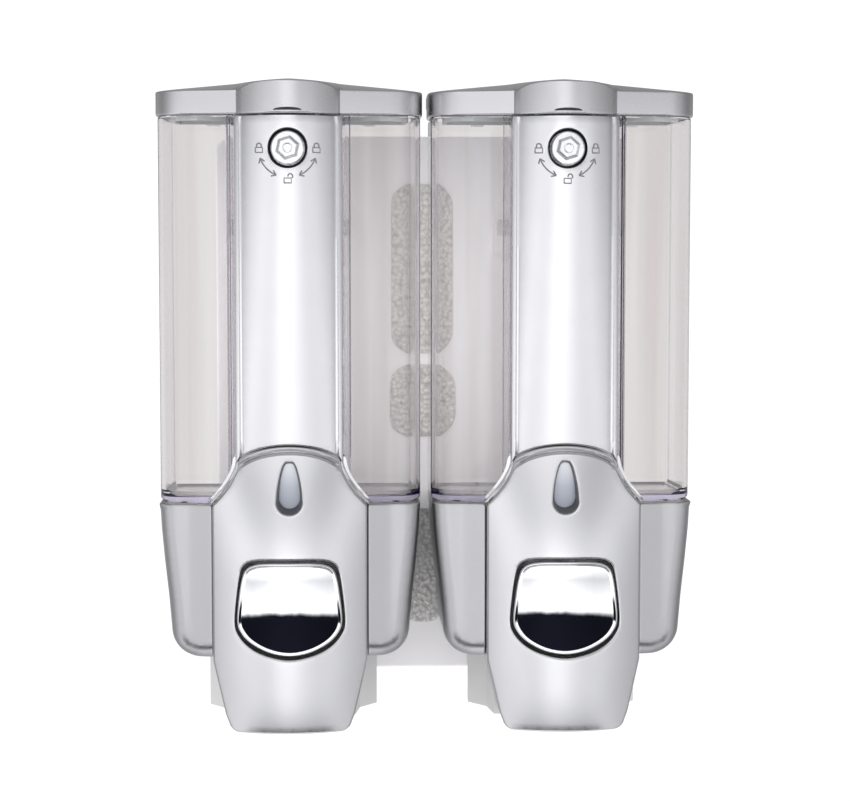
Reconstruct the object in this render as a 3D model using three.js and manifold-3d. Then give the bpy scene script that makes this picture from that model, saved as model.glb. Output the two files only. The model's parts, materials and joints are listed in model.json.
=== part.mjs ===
// Twin wall mounted soap dispenser: two identical pump units hung side by side on one wall plate.
// Millimetres, +Z up. The origin is on the plate's back face, near mid height. The front faces -Y.
import * as THREE from 'three';
import { mergeVertices } from 'three/addons/utils/BufferGeometryUtils.js';
import Module from 'manifold-3d';

const wasm = await Module();
wasm.setup();

// ---- Driving dimensions -------------------------------------------------------------------------
const PITCH = 97.5;              // between the two units' centre lines
const GAP = 0.3;                 // clearance between pieces that touch
const WALL = 2;                  // moulded wall thickness

const LID = { half: 47.6, bottom: 102, edge: 110.6, crown: 115.4, fall: 3.8, rear: -8.2 };
const BULGE = { half: 17.3, rise: 2.8 };
const CATCH = { front: -50.8, rear: -49.2, inner: 5, stem: 8.8, outer: 11.2, low: 85.7, footHigh: 87.4 };
const HINGE = {
  y: -12, z: 106, pinR: 1.2, holeR: 1.5, lugIn: 26, lugOut: 31, lugR: 2.6,
  knuckleIn: 19, knuckleOut: 25.4, knuckleR: 2.8,
};
const TANK = {
  half: 46.9, top: 101.7, bottom: -35.4, rear: -9, floor: 2.2, wall: 1.8, groove: 19.4, grooveY: -46.4,
  spigotR: 6.5, spigotBore: 4.5, spigotLength: 7,
};
const FRONT = { cornerR: 13, cornerY: -36, side: -49, crease: -52 };
const SPINE = {
  half: 19, ridge: 18.4, top: 101.6, bottom: -35.2, ridgeY: -53.3, crownTop: 8.2, crownLow: 4.4,
};
const LOCK = {
  z: 90, holeR: 6.6, discR: 5.85, shankR: 4, armR: 8.2, front: -62.4, seat: -57, screwBore: 1.3,
};
const COLUMN = {
  half: 27.4, headTop: -14, archHalf: 22, archHeight: 11.5, archFoot: -20, neck: 18.2,
  headLow: -35.4, shoulder: -91.5, bottom: -116, bottomHalf: 21.5, edgeY: -53.8, tuck: 1.2,
};
const SHELL = { half: 46.6, top: -35.7, bottom: -91.5, cornerR: 16, rear: -4.6 };
const BUTTON = { top: -54, point: -90.5, half: 19.7, front: -64.2 };
const WINDOW = { top: -19.6, bottom: -38.2, half: 4.5 };
const PUMP = { z: -71, bellowsR: 13, portY: -24, ballR: 2.6, outletZ: -113.5 };
const EAR = { x: 19.5, z: -52.5, inner: 16.5, outer: 26, bore: 1.5 };
const HOUSING = { wide: 31.4, narrow: 23, top: -48, bottom: -116.5, front: -29, rear: -3.4 };
const PLATE = { half: 77, top: 97, bottom: -104, thick: 3, cornerR: 6 };
const CLEAT = { half: 22, z: 53, height: 14, depth: 4.6 };
const SPRING = { r: 7.6, wire: 0.6, turns: 3.5, rear: -46.2, front: -58.6 };
const PANELS = [
  { name: 'panel_upper', top: 79, bottom: 16, half: 10 },
  { name: 'panel_middle', top: 11.5, bottom: -15.5, half: 11 },
  { name: 'panel_lower', top: -43, bottom: -86.5, half: 8 },
];

// ---- Materials ----------------------------------------------------------------------------------
function finish(color, roughness, metalness) {
  return new THREE.MeshStandardMaterial({ color, roughness, metalness });
}

const silver = finish(0xc4c6c9, 0.35, 0.6);
const chrome = finish(0xe8eaec, 0.05, 1);
const steel = finish(0xb4b6b8, 0.3, 1);
const clear = finish(0xe6e4ea, 0.05, 0);
const greyPlastic = finish(0xd0cdcd, 0.5, 0);
const whitePlastic = finish(0xe6e2e6, 0.5, 0);
const panelPlastic = finish(0xd8d6d4, 0.7, 0);
const rubber = finish(0xb9bcc0, 0.7, 0);
const darkGloss = finish(0x6d7681, 0.12, 0.3);

// ---- Solid modelling helpers --------------------------------------------------------------------
const { cos, sin, sqrt, abs, min, max, PI } = Math;
const lerp = (a, b, t) => a + (b - a) * t;

function signedVolume(positions, index) {
  const corner = (k) => new THREE.Vector3().fromArray(positions, 3 * index[k]);
  let sum = 0;
  for (let i = 0; i < index.length; i += 3) sum += corner(i).dot(corner(i + 1).cross(corner(i + 2)));
  return sum / 6;
}

// Turns a closed geometry into a solid whose faces point out.
function solid(geometry) {
  geometry.deleteAttribute('normal');
  geometry.deleteAttribute('uv');
  const merged = mergeVertices(geometry, 1e-4);
  const vertProperties = new Float32Array(merged.attributes.position.array);
  const triVerts = new Uint32Array(merged.index.array);
  if (signedVolume(vertProperties, triVerts) < 0) triVerts.reverse();
  return new wasm.Manifold(new wasm.Mesh({ numProp: 3, vertProperties, triVerts }));
}

function toGeometry(manifold) {
  const mesh = manifold.getMesh();
  const geometry = new THREE.BufferGeometry();
  geometry.setAttribute('position', new THREE.BufferAttribute(new Float32Array(mesh.vertProperties), 3));
  geometry.setIndex(new THREE.BufferAttribute(new Uint32Array(mesh.triVerts), 1));
  geometry.computeVertexNormals();
  return geometry;
}

// Triangles that fill a flat ring, wound the way the ring runs.
function capTriangles(ring) {
  const flatAxis = [0, 1, 2].find((axis) => ring.every((p) => abs(p[axis] - ring[0][axis]) < 1e-6));
  const [u, v] = [0, 1, 2].filter((axis) => axis !== flatAxis);
  const outline = ring.map((p) => new THREE.Vector2(p[u], p[v]));
  const turn = Math.sign(THREE.ShapeUtils.area(outline));
  return THREE.ShapeUtils.triangulateShape(outline, []).map((triangle) => {
    const sameTurn = THREE.ShapeUtils.area(triangle.map((k) => outline[k])) * turn > 0;
    return sameTurn ? triangle : [...triangle].reverse();
  });
}

// A closed body through flat rings of points that all have the same count, capped at both ends.
function loft(rings) {
  const count = rings[0].length;
  const index = [];
  for (let r = 0; r < rings.length - 1; r += 1) {
    for (let i = 0; i < count; i += 1) {
      const a = r * count + i;
      const b = r * count + ((i + 1) % count);
      index.push(a, b, b + count, a, b + count, a + count);
    }
  }
  const last = (rings.length - 1) * count;
  for (const [a, b, c] of capTriangles(rings[0])) index.push(a, c, b);
  for (const [a, b, c] of capTriangles(rings[rings.length - 1])) index.push(last + a, last + b, last + c);
  const geometry = new THREE.BufferGeometry();
  geometry.setAttribute('position', new THREE.BufferAttribute(new Float32Array(rings.flat(2)), 3));
  geometry.setIndex(index);
  return solid(geometry);
}

function box(x0, x1, y0, y1, z0, z1) {
  const geometry = new THREE.BoxGeometry(x1 - x0, y1 - y0, z1 - z0);
  return solid(geometry.translate((x0 + x1) / 2, (y0 + y1) / 2, (z0 + z1) / 2));
}

// A round body about an axis. Its profile is [radius, height] pairs from axis to axis, or a closed loop.
function lathe(profile, segments, direction, centre) {
  const geometry = new THREE.LatheGeometry(profile.map(([r, h]) => new THREE.Vector2(r, h)), segments);
  if (direction === 'x') geometry.rotateZ(-PI / 2);
  if (direction === 'z') geometry.rotateX(PI / 2);
  return solid(geometry.translate(...centre));
}

const rod = (r, from, to, segments, direction, centre) =>
  lathe([[0, from], [r, from], [r, to], [0, to]], segments, direction, centre);

const tube = (inner, outer, from, to, segments, direction, centre) =>
  lathe([[inner, from], [outer, from], [outer, to], [inner, to], [inner, from]], segments, direction, centre);

// A flat outline in the XZ plane, given as [x, z] pairs, drawn out from y0 to y1.
const slab = (outline, y0, y1) => loft([y0, y1].map((y) => outline.map(([x, z]) => [x, y, z])));

// A body between a curved front and a flat back, with its own half width at each height.
function panelBody(heights, halfAt, frontAt, back, steps) {
  return loft(heights.map((z) => {
    const half = halfAt(z);
    const ring = [];
    for (let i = 0; i <= steps; i += 1) {
      const x = lerp(-half, half, i / steps);
      ring.push([x, frontAt(x, z), z]);
    }
    ring.push([half, back, z], [-half, back, z]);
    return ring;
  }));
}

const ordered = (a, b) => (a < b ? [a, b] : [b, a]);

const range = (from, to, steps) => Array.from({ length: steps + 1 }, (_, i) => lerp(from, to, i / steps));

// ---- Shared outer form --------------------------------------------------------------------------
// Half plan outline of a unit from the rear to the crease beside the spine, then mirrored into a full ring.
function planRing({ half, rear, inset = 0, middle, z }) {
  const w = half - inset;
  const r = FRONT.cornerR;
  const points = [[w, rear - inset]];
  for (const angle of range(0, PI / 2.3, 4)) {
    points.push([w - r + r * cos(angle), FRONT.cornerY - (r - inset * 0.5) * sin(angle)]);
  }
  points.push(...middle(inset));
  const left = points.map(([x, y]) => [-x, y]).reverse();
  const joined = abs(points[points.length - 1][0]) < 1e-6 ? left.slice(1) : left;
  return [...points, ...joined].map(([x, y]) => [x, y, z]);
}

// ---- Clear tank ---------------------------------------------------------------------------------
const tankMiddle = (inset) => [
  [TANK.groove + inset, FRONT.crease + inset],
  [TANK.groove + inset, TANK.grooveY + inset],
];

function makeTank() {
  const ring = (inset, z) => planRing({ half: TANK.half, rear: TANK.rear, inset, middle: tankMiddle, z });
  let body = loft([ring(0.8, TANK.bottom), ring(0, TANK.bottom + 1.2), ring(0, TANK.top)]);
  body = body.subtract(loft([ring(TANK.wall, TANK.bottom + TANK.floor), ring(TANK.wall, TANK.top + 5)]));
  const port = [0, PUMP.portY, 0];
  const spigotEnd = TANK.bottom - TANK.spigotLength;
  body = body.add(rod(TANK.spigotR, spigotEnd, TANK.bottom + 1, 12, 'z', port));
  body = body.subtract(rod(TANK.spigotBore, spigotEnd - 2, TANK.bottom + 5, 12, 'z', port));
  for (const side of [-1, 1]) {
    const [x0, x1] = ordered(side * HINGE.lugIn, side * HINGE.lugOut);
    body = body.add(box(x0, x1, HINGE.y - HINGE.lugR, TANK.rear, TANK.top - 1.5, HINGE.z));
    body = body.add(rod(HINGE.lugR, x0, x1, 12, 'x', [0, HINGE.y, HINGE.z]));
  }
  body = body.subtract(rod(HINGE.holeR, -40, 40, 12, 'x', [0, HINGE.y, HINGE.z]));
  // Hook that drops behind the cleat's lip.
  const hookTop = CLEAT.z + CLEAT.height - 1;
  body = body.add(box(-CLEAT.half + 1, CLEAT.half - 1, TANK.rear - 1, -5.4, hookTop - 3, hookTop));
  body = body.add(box(-CLEAT.half + 1, CLEAT.half - 1, -6.5, -5.4, CLEAT.z + 4, hookTop));
  return body;
}

// ---- Hinged lid ---------------------------------------------------------------------------------
const bulgeY = (x, crown) => SPINE.ridgeY - crown * (1 - (x / SPINE.ridge) ** 2);

const lidMiddle = (inset) => [1, 0.91, 0.69, 0.46, 0.23, 0].map((part) => {
  const x = part * BULGE.half;
  return [x, bulgeY(x, SPINE.crownTop + 0.9) + inset];
});

// Height of the lid's front edge: level along the wings, arched over the bulge.
function lidEdge(x, y) {
  const onBulge = y < FRONT.crease && abs(x) < BULGE.half;
  return LID.edge + (onBulge ? BULGE.rise * (1 - (abs(x) / BULGE.half) ** 4.5) : 0);
}

// Height of the lid's top behind its edge: highest in the middle and falling to the sides.
const lidCrest = (x) => LID.crown - LID.fall * (abs(x) / LID.half) ** 1.2;

function makeLid() {
  const ring = (inset, z) => planRing({ half: LID.half, rear: LID.rear, inset, middle: lidMiddle, z });
  // The plan ring drawn in towards the crest line, each point at its own height.
  const roof = (inset, pull, heightAt) => ring(inset, 0).map(([x, y]) => {
    const px = x * (1 - pull);
    return [px, lerp(y, -27, pull), heightAt(px, y)];
  });
  let body = loft([
    ring(0, LID.bottom), roof(0, 0, lidEdge), roof(0.8, 0.02, (x, y) => lidEdge(x, y) + 0.8),
    roof(0.8, 0.4, (x) => lidCrest(x) - 0.6), roof(0.8, 0.97, () => LID.crown),
  ]);
  body = body.subtract(loft([
    ring(WALL, LID.bottom - 1), ring(WALL, LID.edge - 1.4),
    roof(WALL, 0.4, (x) => lidCrest(x) - 0.6 - WALL), roof(WALL, 0.97, () => LID.crown - WALL),
  ]));
  body = body.subtract(box(-50, 50, HINGE.y - 3, LID.rear + 1, LID.bottom - 1, HINGE.z));
  for (const side of [-1, 1]) {
    const [x0, x1] = ordered(side * HINGE.knuckleIn, side * HINGE.knuckleOut);
    body = body.add(rod(HINGE.knuckleR, x0, x1, 12, 'x', [0, HINGE.y, HINGE.z]));
    body = body.add(box(x0, x1, HINGE.y, LID.rear - 1, HINGE.z, LID.edge - 0.5));
    const [slot0, slot1] = ordered(side * (HINGE.lugIn - 0.4), side * (HINGE.lugOut + 0.4));
    body = body.subtract(box(slot0, slot1, LID.rear - 6, LID.rear + 1, LID.bottom, HINGE.z + 3.2));
    // Catch: a stem with a foot turned in under the lock cam.
    const [stem0, stem1] = ordered(side * CATCH.stem, side * CATCH.outer);
    const [foot0, foot1] = ordered(side * CATCH.inner, side * CATCH.outer);
    body = body.add(box(stem0, stem1, CATCH.front, CATCH.rear, CATCH.low, LID.edge + 3));
    body = body.add(box(foot0, foot1, CATCH.front, CATCH.rear, CATCH.low, CATCH.footHigh));
  }
  body = body.subtract(rod(HINGE.holeR, -40, 40, 12, 'x', [0, HINGE.y, HINGE.z]));
  // Finger notch under the front edge.
  return body.subtract(box(-4.8, 4.8, -66, -60.8, LID.bottom - 1, LID.bottom + 1));
}

// Soft ring under the lid that drops just inside the tank's mouth.
function makeGasket() {
  const middle = (inset) => [[20, TANK.grooveY + inset], [0, TANK.grooveY + inset]];
  const band = (inset, z) => planRing({ half: TANK.half, rear: TANK.rear - 7, inset, middle, z });
  const low = TANK.top - 1.5;
  const high = LID.edge - 2.4;
  const outer = loft([band(TANK.wall + 2.6, low), band(TANK.wall + 2.6, high)]);
  return outer.subtract(loft([band(TANK.wall + 4.2, low - 1), band(TANK.wall + 4.2, high + 1)]));
}

// ---- Spine cover and lock -----------------------------------------------------------------------
function spineCrown(z) {
  return lerp(SPINE.crownLow, SPINE.crownTop, (z - COLUMN.headTop) / (SPINE.top - COLUMN.headTop));
}

const spineY = (x, z) => (abs(x) < SPINE.ridge ? bulgeY(x, spineCrown(z)) : SPINE.ridgeY);

// Half width of the pump cover: an arch at the head, a flare, straight sides and a tapered foot.
function columnHalf(z, inset = 0) {
  const top = COLUMN.headTop - inset;
  if (z > COLUMN.archFoot) {
    const drop = min(1, (top - z) / COLUMN.archHeight);
    return min(COLUMN.neck, COLUMN.archHalf * sqrt(max(0, 1 - (1 - drop) ** 2))) - inset * 0.5;
  }
  if (z > COLUMN.headLow) {
    const t = (COLUMN.archFoot - z) / (COLUMN.archFoot - COLUMN.headLow);
    return lerp(COLUMN.neck, COLUMN.half, t ** 1.7) - inset;
  }
  if (z >= COLUMN.shoulder) return COLUMN.half - inset;
  const t = (COLUMN.shoulder - z) / (COLUMN.shoulder - COLUMN.bottom);
  return lerp(COLUMN.half, COLUMN.bottomHalf, t) - inset;
}

const headHeights = (inset) => [
  ...range(COLUMN.headLow, COLUMN.archFoot, 4),
  ...[3.4, 1.8, 0.8, 0.25, 0.04].map((drop) => COLUMN.headTop - inset - drop),
];

// Line of the tank's front face beside the spine.
const tankFrontY = (x) => lerp(FRONT.crease, FRONT.side, max(0, abs(x) - TANK.groove) / 30);

function makeSpineCover() {
  const low = SPINE.bottom + GAP;
  const levels = [COLUMN.archFoot, 40, SPINE.top];
  let body = panelBody(levels, () => SPINE.half, spineY, -46.8, 10);
  const hollow = (x, z) => spineY(x, z) + 1.9;
  body = body.subtract(panelBody([levels[0] - 1, 40, SPINE.top + 1], () => SPINE.half - 1.9, hollow, -40, 8));
  // Rails that flare down each side of the pump cover's head.
  const railHeights = range(low, COLUMN.archFoot + 0.5, 4);
  const railWidth = (z) => lerp(0.9, 1.9, (COLUMN.archFoot - z) / (COLUMN.archFoot - low));
  const railHalf = (z) => (z > COLUMN.archFoot ? SPINE.half : columnHalf(z) + railWidth(z));
  const rails = panelBody(railHeights, railHalf, (x) => tankFrontY(x) - 2.4, -46, 6);
  const behind = panelBody([low - 1, COLUMN.archFoot + 1], () => 60, (x) => tankFrontY(x) - GAP, -40, 6);
  body = body.add(rails.subtract(behind));
  const heights = [low - 1, ...headHeights(0)].map((z) => z + GAP);
  body = body.subtract(panelBody(heights, (z) => columnHalf(z - GAP) + GAP, () => -80, -40, 1));
  // Lock boss behind the face.
  const centre = [0, 0, LOCK.z];
  body = body.add(tube(LOCK.holeR - 0.5, LOCK.holeR + 1.6, LOCK.seat - 3, LOCK.seat + 0.1, 14, 'y', centre));
  body = body.add(tube(LOCK.shankR + 0.4, LOCK.holeR + 0.8, LOCK.seat, LOCK.seat + 1.4, 14, 'y', centre));
  return body.subtract(rod(LOCK.holeR, -70, LOCK.seat, 16, 'y', centre));
}

function makeLockPlug() {
  const centre = [0, 0, LOCK.z];
  let body = rod(LOCK.discR, LOCK.front, LOCK.seat - 0.4, 16, 'y', centre);
  body = body.add(rod(LOCK.shankR, LOCK.seat - 1, CATCH.front - GAP, 14, 'y', centre));
  body = body.add(rod(4, LOCK.front - 1.6, LOCK.front + 1, 6, 'y', centre));
  body = body.subtract(rod(1.75, LOCK.front - 3, LOCK.front - 0.6, 10, 'y', centre));
  return body.subtract(rod(LOCK.screwBore, -56, -50, 8, 'y', centre));
}

// Arm that stands up when unlocked and lies over a lid catch when the lock is turned either way.
function makeLockCam() {
  const { front, rear } = CATCH;
  let body = rod(4, front, rear, 12, 'y', [0, 0, LOCK.z]);
  body = body.add(box(-2, 2, front, rear, LOCK.z, LOCK.z + LOCK.armR));
  return body.subtract(rod(LOCK.screwBore, front - 1, rear + 1, 8, 'y', [0, 0, LOCK.z]));
}

function makeLockScrew() {
  const profile = [[0, -54.5], [1, -54.5], [1, -48.9], [2.8, -48.9], [2.8, -47.8], [0, -47.8]];
  return lathe(profile, 8, 'y', [0, 0, LOCK.z]);
}

// ---- Column: the pump's front cover -------------------------------------------------------------
// Front of the column: convex across, fullest at the button and drawn in towards the bottom.
function columnY(x, z) {
  const swell = z > -64 ? sin(PI / 2 * max(0, COLUMN.headTop - z) / 50) : 1;
  const tuck = COLUMN.tuck * (max(0, COLUMN.shoulder - z) / (COLUMN.shoulder - COLUMN.bottom)) ** 2;
  const crown = lerp(3.9, 9.4, swell);
  return COLUMN.edgeY + tuck - crown * (1 - (x / COLUMN.half) ** 2);
}

const buttonOutline = (inset) => {
  const w = BUTTON.half - inset;
  const top = BUTTON.top - inset;
  const side = [[w - 5.6, top], [w - 3, top - 1], [w - 2.2, top - 4], [w, -78], [w - 1.2, -81.5],
    [w - 4, -85 + inset * 0.5], [w - 8.5, -87.9 + inset * 0.8], [5.5, BUTTON.point + 0.8 + inset]];
  return [...side, ...side.map(([x, z]) => [-x, z]).reverse()];
};

const windowOutline = (inset) => {
  const r = WINDOW.half - inset;
  const low = WINDOW.bottom + inset + r;
  const top = WINDOW.top - inset;
  const arc = range(-PI / 2, 0, 4).map((a) => [r * cos(a), low + r * sin(a)]);
  const side = [...arc, [r * 0.86, lerp(low, top, 0.45)], [r * 0.5, lerp(low, top, 0.85)], [r * 0.22, top]];
  return [...side, ...side.slice(1).map(([x, z]) => [-x, z]).reverse()];
};

function makePumpCover() {
  const straight = [-103, COLUMN.shoulder, -62, -47];
  const half = (inset) => (z) => columnHalf(z, inset);
  let body = panelBody([COLUMN.bottom, ...straight, ...headHeights(0)], half(0), columnY, -29.5, 10);
  const inner = [COLUMN.bottom + WALL, ...straight, ...headHeights(WALL)];
  const hollow = (x, z) => columnY(x, z) + WALL;
  body = body.subtract(panelBody(inner, half(WALL), hollow, -20, 8));
  // Room behind the head for the tank and the base shell.
  body = body.subtract(box(-60, 60, -52.6, 0, SHELL.top - 1.4, 0));
  body = body.subtract(slab(buttonOutline(0), -80, -45));
  body = body.subtract(slab(windowOutline(0), -80, -40));
  for (const side of [-1, 1]) {
    const [x0, x1] = ordered(side * EAR.inner, side * EAR.outer);
    body = body.add(box(x0, x1, -31.5, -29.5, EAR.z - 4.5, EAR.z + 4.5));
    body = body.subtract(rod(EAR.bore, -35, -25, 8, 'y', [side * EAR.x, 0, EAR.z]));
  }
  return body.subtract(rod(6, -130, -100, 12, 'z', [0, PUMP.portY - 10, 0]));
}

// Tear-drop insert set back in the cover's opening.
const makeDropWindow = () => slab(windowOutline(0.4), -55.4, -53.2);

// ---- Base shell ---------------------------------------------------------------------------------
function shellOutline(inset) {
  const w = SHELL.half - inset;
  const r = SHELL.cornerR - inset;
  const low = SHELL.bottom + inset;
  const corner = range(0, PI / 2.2, 5).map((a) => [w - 4.2 - r + r * cos(a), low + r - r * sin(a)]);
  const side = [[w, SHELL.top - inset], [w - 1.2, -56], ...corner];
  return [...side, ...side.map(([x, z]) => [-x, z]).reverse()];
}

const shellPlan = (inset, rear, z) => planRing({
  half: SHELL.half + 0.6, rear, inset, z,
  middle: (i) => [[14, FRONT.crease + i], [0, FRONT.crease + i]],
});

function makeBaseShell() {
  const span = [SHELL.bottom - 5, SHELL.top + 5];
  const drawn = (inset, rear) => loft(span.map((z) => shellPlan(inset, rear, z)));
  const full = drawn(0, SHELL.rear).intersect(slab(shellOutline(0), -60, SHELL.rear));
  const inner = drawn(WALL, SHELL.rear + 10).intersect(slab(shellOutline(WALL), -60, 5));
  let body = full.subtract(inner);
  // Central bay for the column and the pump housing.
  const bay = COLUMN.half + GAP;
  body = body.subtract(box(-bay, bay, -70, -29.2, SHELL.bottom - 5, SHELL.top + 5));
  const wide = HOUSING.wide + GAP;
  body = body.subtract(box(-wide, wide, -29.3, 0, SHELL.bottom - 5, SHELL.bottom + 12));
  body = body.subtract(rod(7.4, -60, 0, 16, 'z', [0, PUMP.portY, 0]));
  return body;
}

// ---- Pump ---------------------------------------------------------------------------------------
function housingRing(z, inset) {
  const w = HOUSING.wide - inset;
  const n = HOUSING.narrow - inset;
  return [[-w, HOUSING.rear - inset], [-w, -8], [-n - 2, -16], [-n, HOUSING.front], [n, HOUSING.front],
    [n + 2, -16], [w, -8], [w, HOUSING.rear - inset]].map(([x, y]) => [x, y, z]);
}

function makePumpHousing() {
  const centre = [0, 0, PUMP.z];
  let body = loft([housingRing(HOUSING.bottom, 0), housingRing(HOUSING.top, 0)]);
  const cavity = (x0, x1, z0, z1) => box(x0, x1, HOUSING.front + 5, -2, z0, z1);
  body = body.subtract(cavity(-21, -8.5, HOUSING.bottom + WALL, HOUSING.top - WALL));
  body = body.subtract(cavity(8.5, 21, HOUSING.bottom + WALL, HOUSING.top - WALL));
  body = body.subtract(rod(PUMP.bellowsR - 2, -31, -12, 14, 'y', centre));
  const r = PUMP.bellowsR;
  body = body.add(tube(r - 2, r + 1.5, HOUSING.front - 2, HOUSING.front + 6, 14, 'y', centre));
  const port = [0, PUMP.portY, 0];
  body = body.add(rod(8.6, HOUSING.top - 4, -39, 12, 'z', port));
  body = body.subtract(rod(7, -45.3, -38, 12, 'z', port));
  body = body.subtract(rod(1.8, -66, -40, 8, 'z', port));
  body = body.subtract(rod(3.4, -57, -50, 10, 'z', port));
  body = body.subtract(box(-2.8, 2.8, PUMP.portY - 0.7, PUMP.portY + 0.7, -59, -56));
  body = body.subtract(rod(2.2, -100, -76, 8, 'z', port));
  body = body.subtract(rod(4.4, HOUSING.bottom - 2, -97, 12, 'z', port));
  for (const side of [-1, 1]) {
    const screwHole = [side * EAR.x, 0, EAR.z];
    body = body.subtract(rod(EAR.bore, HOUSING.front - 1, HOUSING.front + 12, 8, 'y', screwHole));
  }
  return body;
}

const makeTankSeal = () => tube(4.6, 6.4, -45, -42.7, 12, 'z', [0, PUMP.portY, 0]);

function makeInletBall() {
  const geometry = new THREE.SphereGeometry(PUMP.ballR, 10, 6);
  return solid(geometry.rotateX(PI / 2).translate(0, PUMP.portY, -54.1));
}

// Soft dome that the plunger squeezes.
function makeBellows() {
  const r = PUMP.bellowsR;
  const [seat, nose] = [HOUSING.front - 2.3, -43];
  const outer = [[6, nose], [8, nose + 1.5], [r - 2.4, seat - 6], [r - 1, seat - 1.8], [r + 1.2, seat - 1.6],
    [r + 1.2, seat]];
  const inner = [[r - 2.4, seat], [r - 4, seat - 5.4], [6.8, nose + 2.8], [4.8, nose + 1.4]];
  return lathe([[0, nose], ...outer, ...inner, [0, nose + 1.4]], 14, 'y', [0, 0, PUMP.z]);
}

function makeBellowsRing() {
  const r = PUMP.bellowsR;
  const seat = HOUSING.front - 2.3;
  return tube(r - 0.4, r + 3, seat - 3.6, seat - 2, 14, 'y', [0, 0, PUMP.z])
    .add(tube(r + 1.6, r + 3, seat - 3.6, seat + 1.4, 14, 'y', [0, 0, PUMP.z]));
}

function makeOutletTube() {
  const top = -97.3;
  const low = PUMP.outletZ;
  const profile = [[2, top], [4, top], [4, -108], [3.2, -108.5], [3.2, low], [2, low], [2, top]];
  return lathe(profile, 12, 'z', [0, PUMP.portY, 0]);
}

// ---- Button -------------------------------------------------------------------------------------
function makeButton() {
  const face = (inset, y) => buttonOutline(inset).map(([x, z]) => [x, y, z]);
  const cap = loft([
    face(0.9, -57.6), face(0.9, BUTTON.front + 1.4), face(1.5, BUTTON.front + 0.5), face(2.6, BUTTON.front),
  ]);
  return cap.subtract(loft([face(2.4, -57), face(2.4, BUTTON.front + 2)]));
}

function makePlunger() {
  const centre = [0, 0, PUMP.z];
  const disc = [[0, -61.8], [9, -61.8], [9, -60.2], [4, -60.2]];
  const profile = [...disc, [4, -45.4], [6.5, -45.4], [6.5, -43.4], [0, -43.4]];
  return lathe(profile, 12, 'y', centre);
}

// Return spring round the plunger, between the bellows ring's guide and the button.
function makeSpring() {
  class Coil extends THREE.Curve {
    getPoint(t) {
      const angle = t * SPRING.turns * 2 * PI;
      const y = lerp(SPRING.rear, SPRING.front, t);
      return new THREE.Vector3(SPRING.r * cos(angle), y, PUMP.z + SPRING.r * sin(angle));
    }
  }
  const round = range(0, 2 * PI, 5).slice(0, 5);
  const wire = round.map((a) => new THREE.Vector2(SPRING.wire * cos(a), SPRING.wire * sin(a)));
  const section = new THREE.Shape(wire);
  return solid(new THREE.ExtrudeGeometry(section, { steps: 30, extrudePath: new Coil(), curveSegments: 1 }));
}

// ---- Fasteners and wall plate -------------------------------------------------------------------
// Pan head screw along Y: the head's face at y, then its height, the shank's radius and length.
function makeScrew(x, z, y, headR, headH, shankR, length) {
  const tip = y + headH + length;
  const profile = [[0, y], [headR * 0.8, y], [headR, y + headH],
    [shankR, y + headH], [shankR, tip], [0, tip]];
  return lathe(profile, 10, 'y', [x, 0, z]);
}

function roundedRect(half, low, high, r, steps) {
  const corner = (cx, cz, from) => range(from, from + PI / 2, steps)
    .map((a) => [cx + r * cos(a), cz + r * sin(a)]);
  return [...corner(half - r, high - r, 0), ...corner(r - half, high - r, PI / 2),
    ...corner(r - half, low + r, PI), ...corner(half - r, low + r, 1.5 * PI)];
}

const WALL_SCREWS = [-1, 1].flatMap((side) => [84, -10].map((z) => ({ x: side * PITCH / 2, z })));

function makeWallPlate() {
  let body = slab(roundedRect(PLATE.half, PLATE.bottom, PLATE.top, PLATE.cornerR, 3), -PLATE.thick, 0);
  for (const { x, z } of WALL_SCREWS) {
    body = body.subtract(rod(2.5, -PLATE.thick - 1, 1, 10, 'y', [x, 0, z]));
  }
  return body;
}

function makePanel({ top, bottom, half }) {
  return slab(roundedRect(half, bottom, top, half * 0.8, 5), -PLATE.thick - 1.2, -PLATE.thick - 0.2);
}

// J-shaped bar that a tank hook drops into.
function makeCleat() {
  const back = -PLATE.thick - 0.2;
  const front = back - CLEAT.depth;
  return box(-CLEAT.half, CLEAT.half, -5, back, CLEAT.z, CLEAT.z + CLEAT.height)
    .subtract(box(-CLEAT.half - 1, CLEAT.half + 1, -5.4, -4.6, CLEAT.z + 3.4, CLEAT.z + CLEAT.height + 1))
    .add(box(-CLEAT.half, CLEAT.half, front, -4, CLEAT.z, CLEAT.z + 3))
    .add(box(-CLEAT.half, CLEAT.half, front, front + 1, CLEAT.z, CLEAT.z + 7));
}

// ---- Assembly -----------------------------------------------------------------------------------
const UNIT_PARTS = [
  ['tank', makeTank, clear],
  ['lid', makeLid, silver],
  ['lid_hinge_pin', () => rod(HINGE.pinR, -31, 31, 12, 'x', [0, HINGE.y, HINGE.z]), steel],
  ['lid_gasket', makeGasket, rubber],
  ['spine_cover', makeSpineCover, silver],
  ['lock_plug', makeLockPlug, chrome],
  ['lock_cam', makeLockCam, steel],
  ['lock_screw', makeLockScrew, steel],
  ['pump_cover', makePumpCover, silver],
  ['drop_window', makeDropWindow, darkGloss],
  ['base_shell', makeBaseShell, silver],
  ['pump_housing', makePumpHousing, greyPlastic],
  ['tank_seal', makeTankSeal, rubber],
  ['inlet_ball', makeInletBall, steel],
  ['bellows', makeBellows, rubber],
  ['bellows_ring', makeBellowsRing, whitePlastic],
  ['outlet_tube', makeOutletTube, greyPlastic],
  ['button', makeButton, chrome],
  ['plunger', makePlunger, whitePlastic],
  ['button_spring', makeSpring, steel],
  ['cover_screw_1', () => makeScrew(-EAR.x, EAR.z, -33.4, 2.6, 1.6, 1.1, 10), steel],
  ['cover_screw_2', () => makeScrew(EAR.x, EAR.z, -33.4, 2.6, 1.6, 1.1, 10), steel],
];

const group = new THREE.Group();

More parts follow.
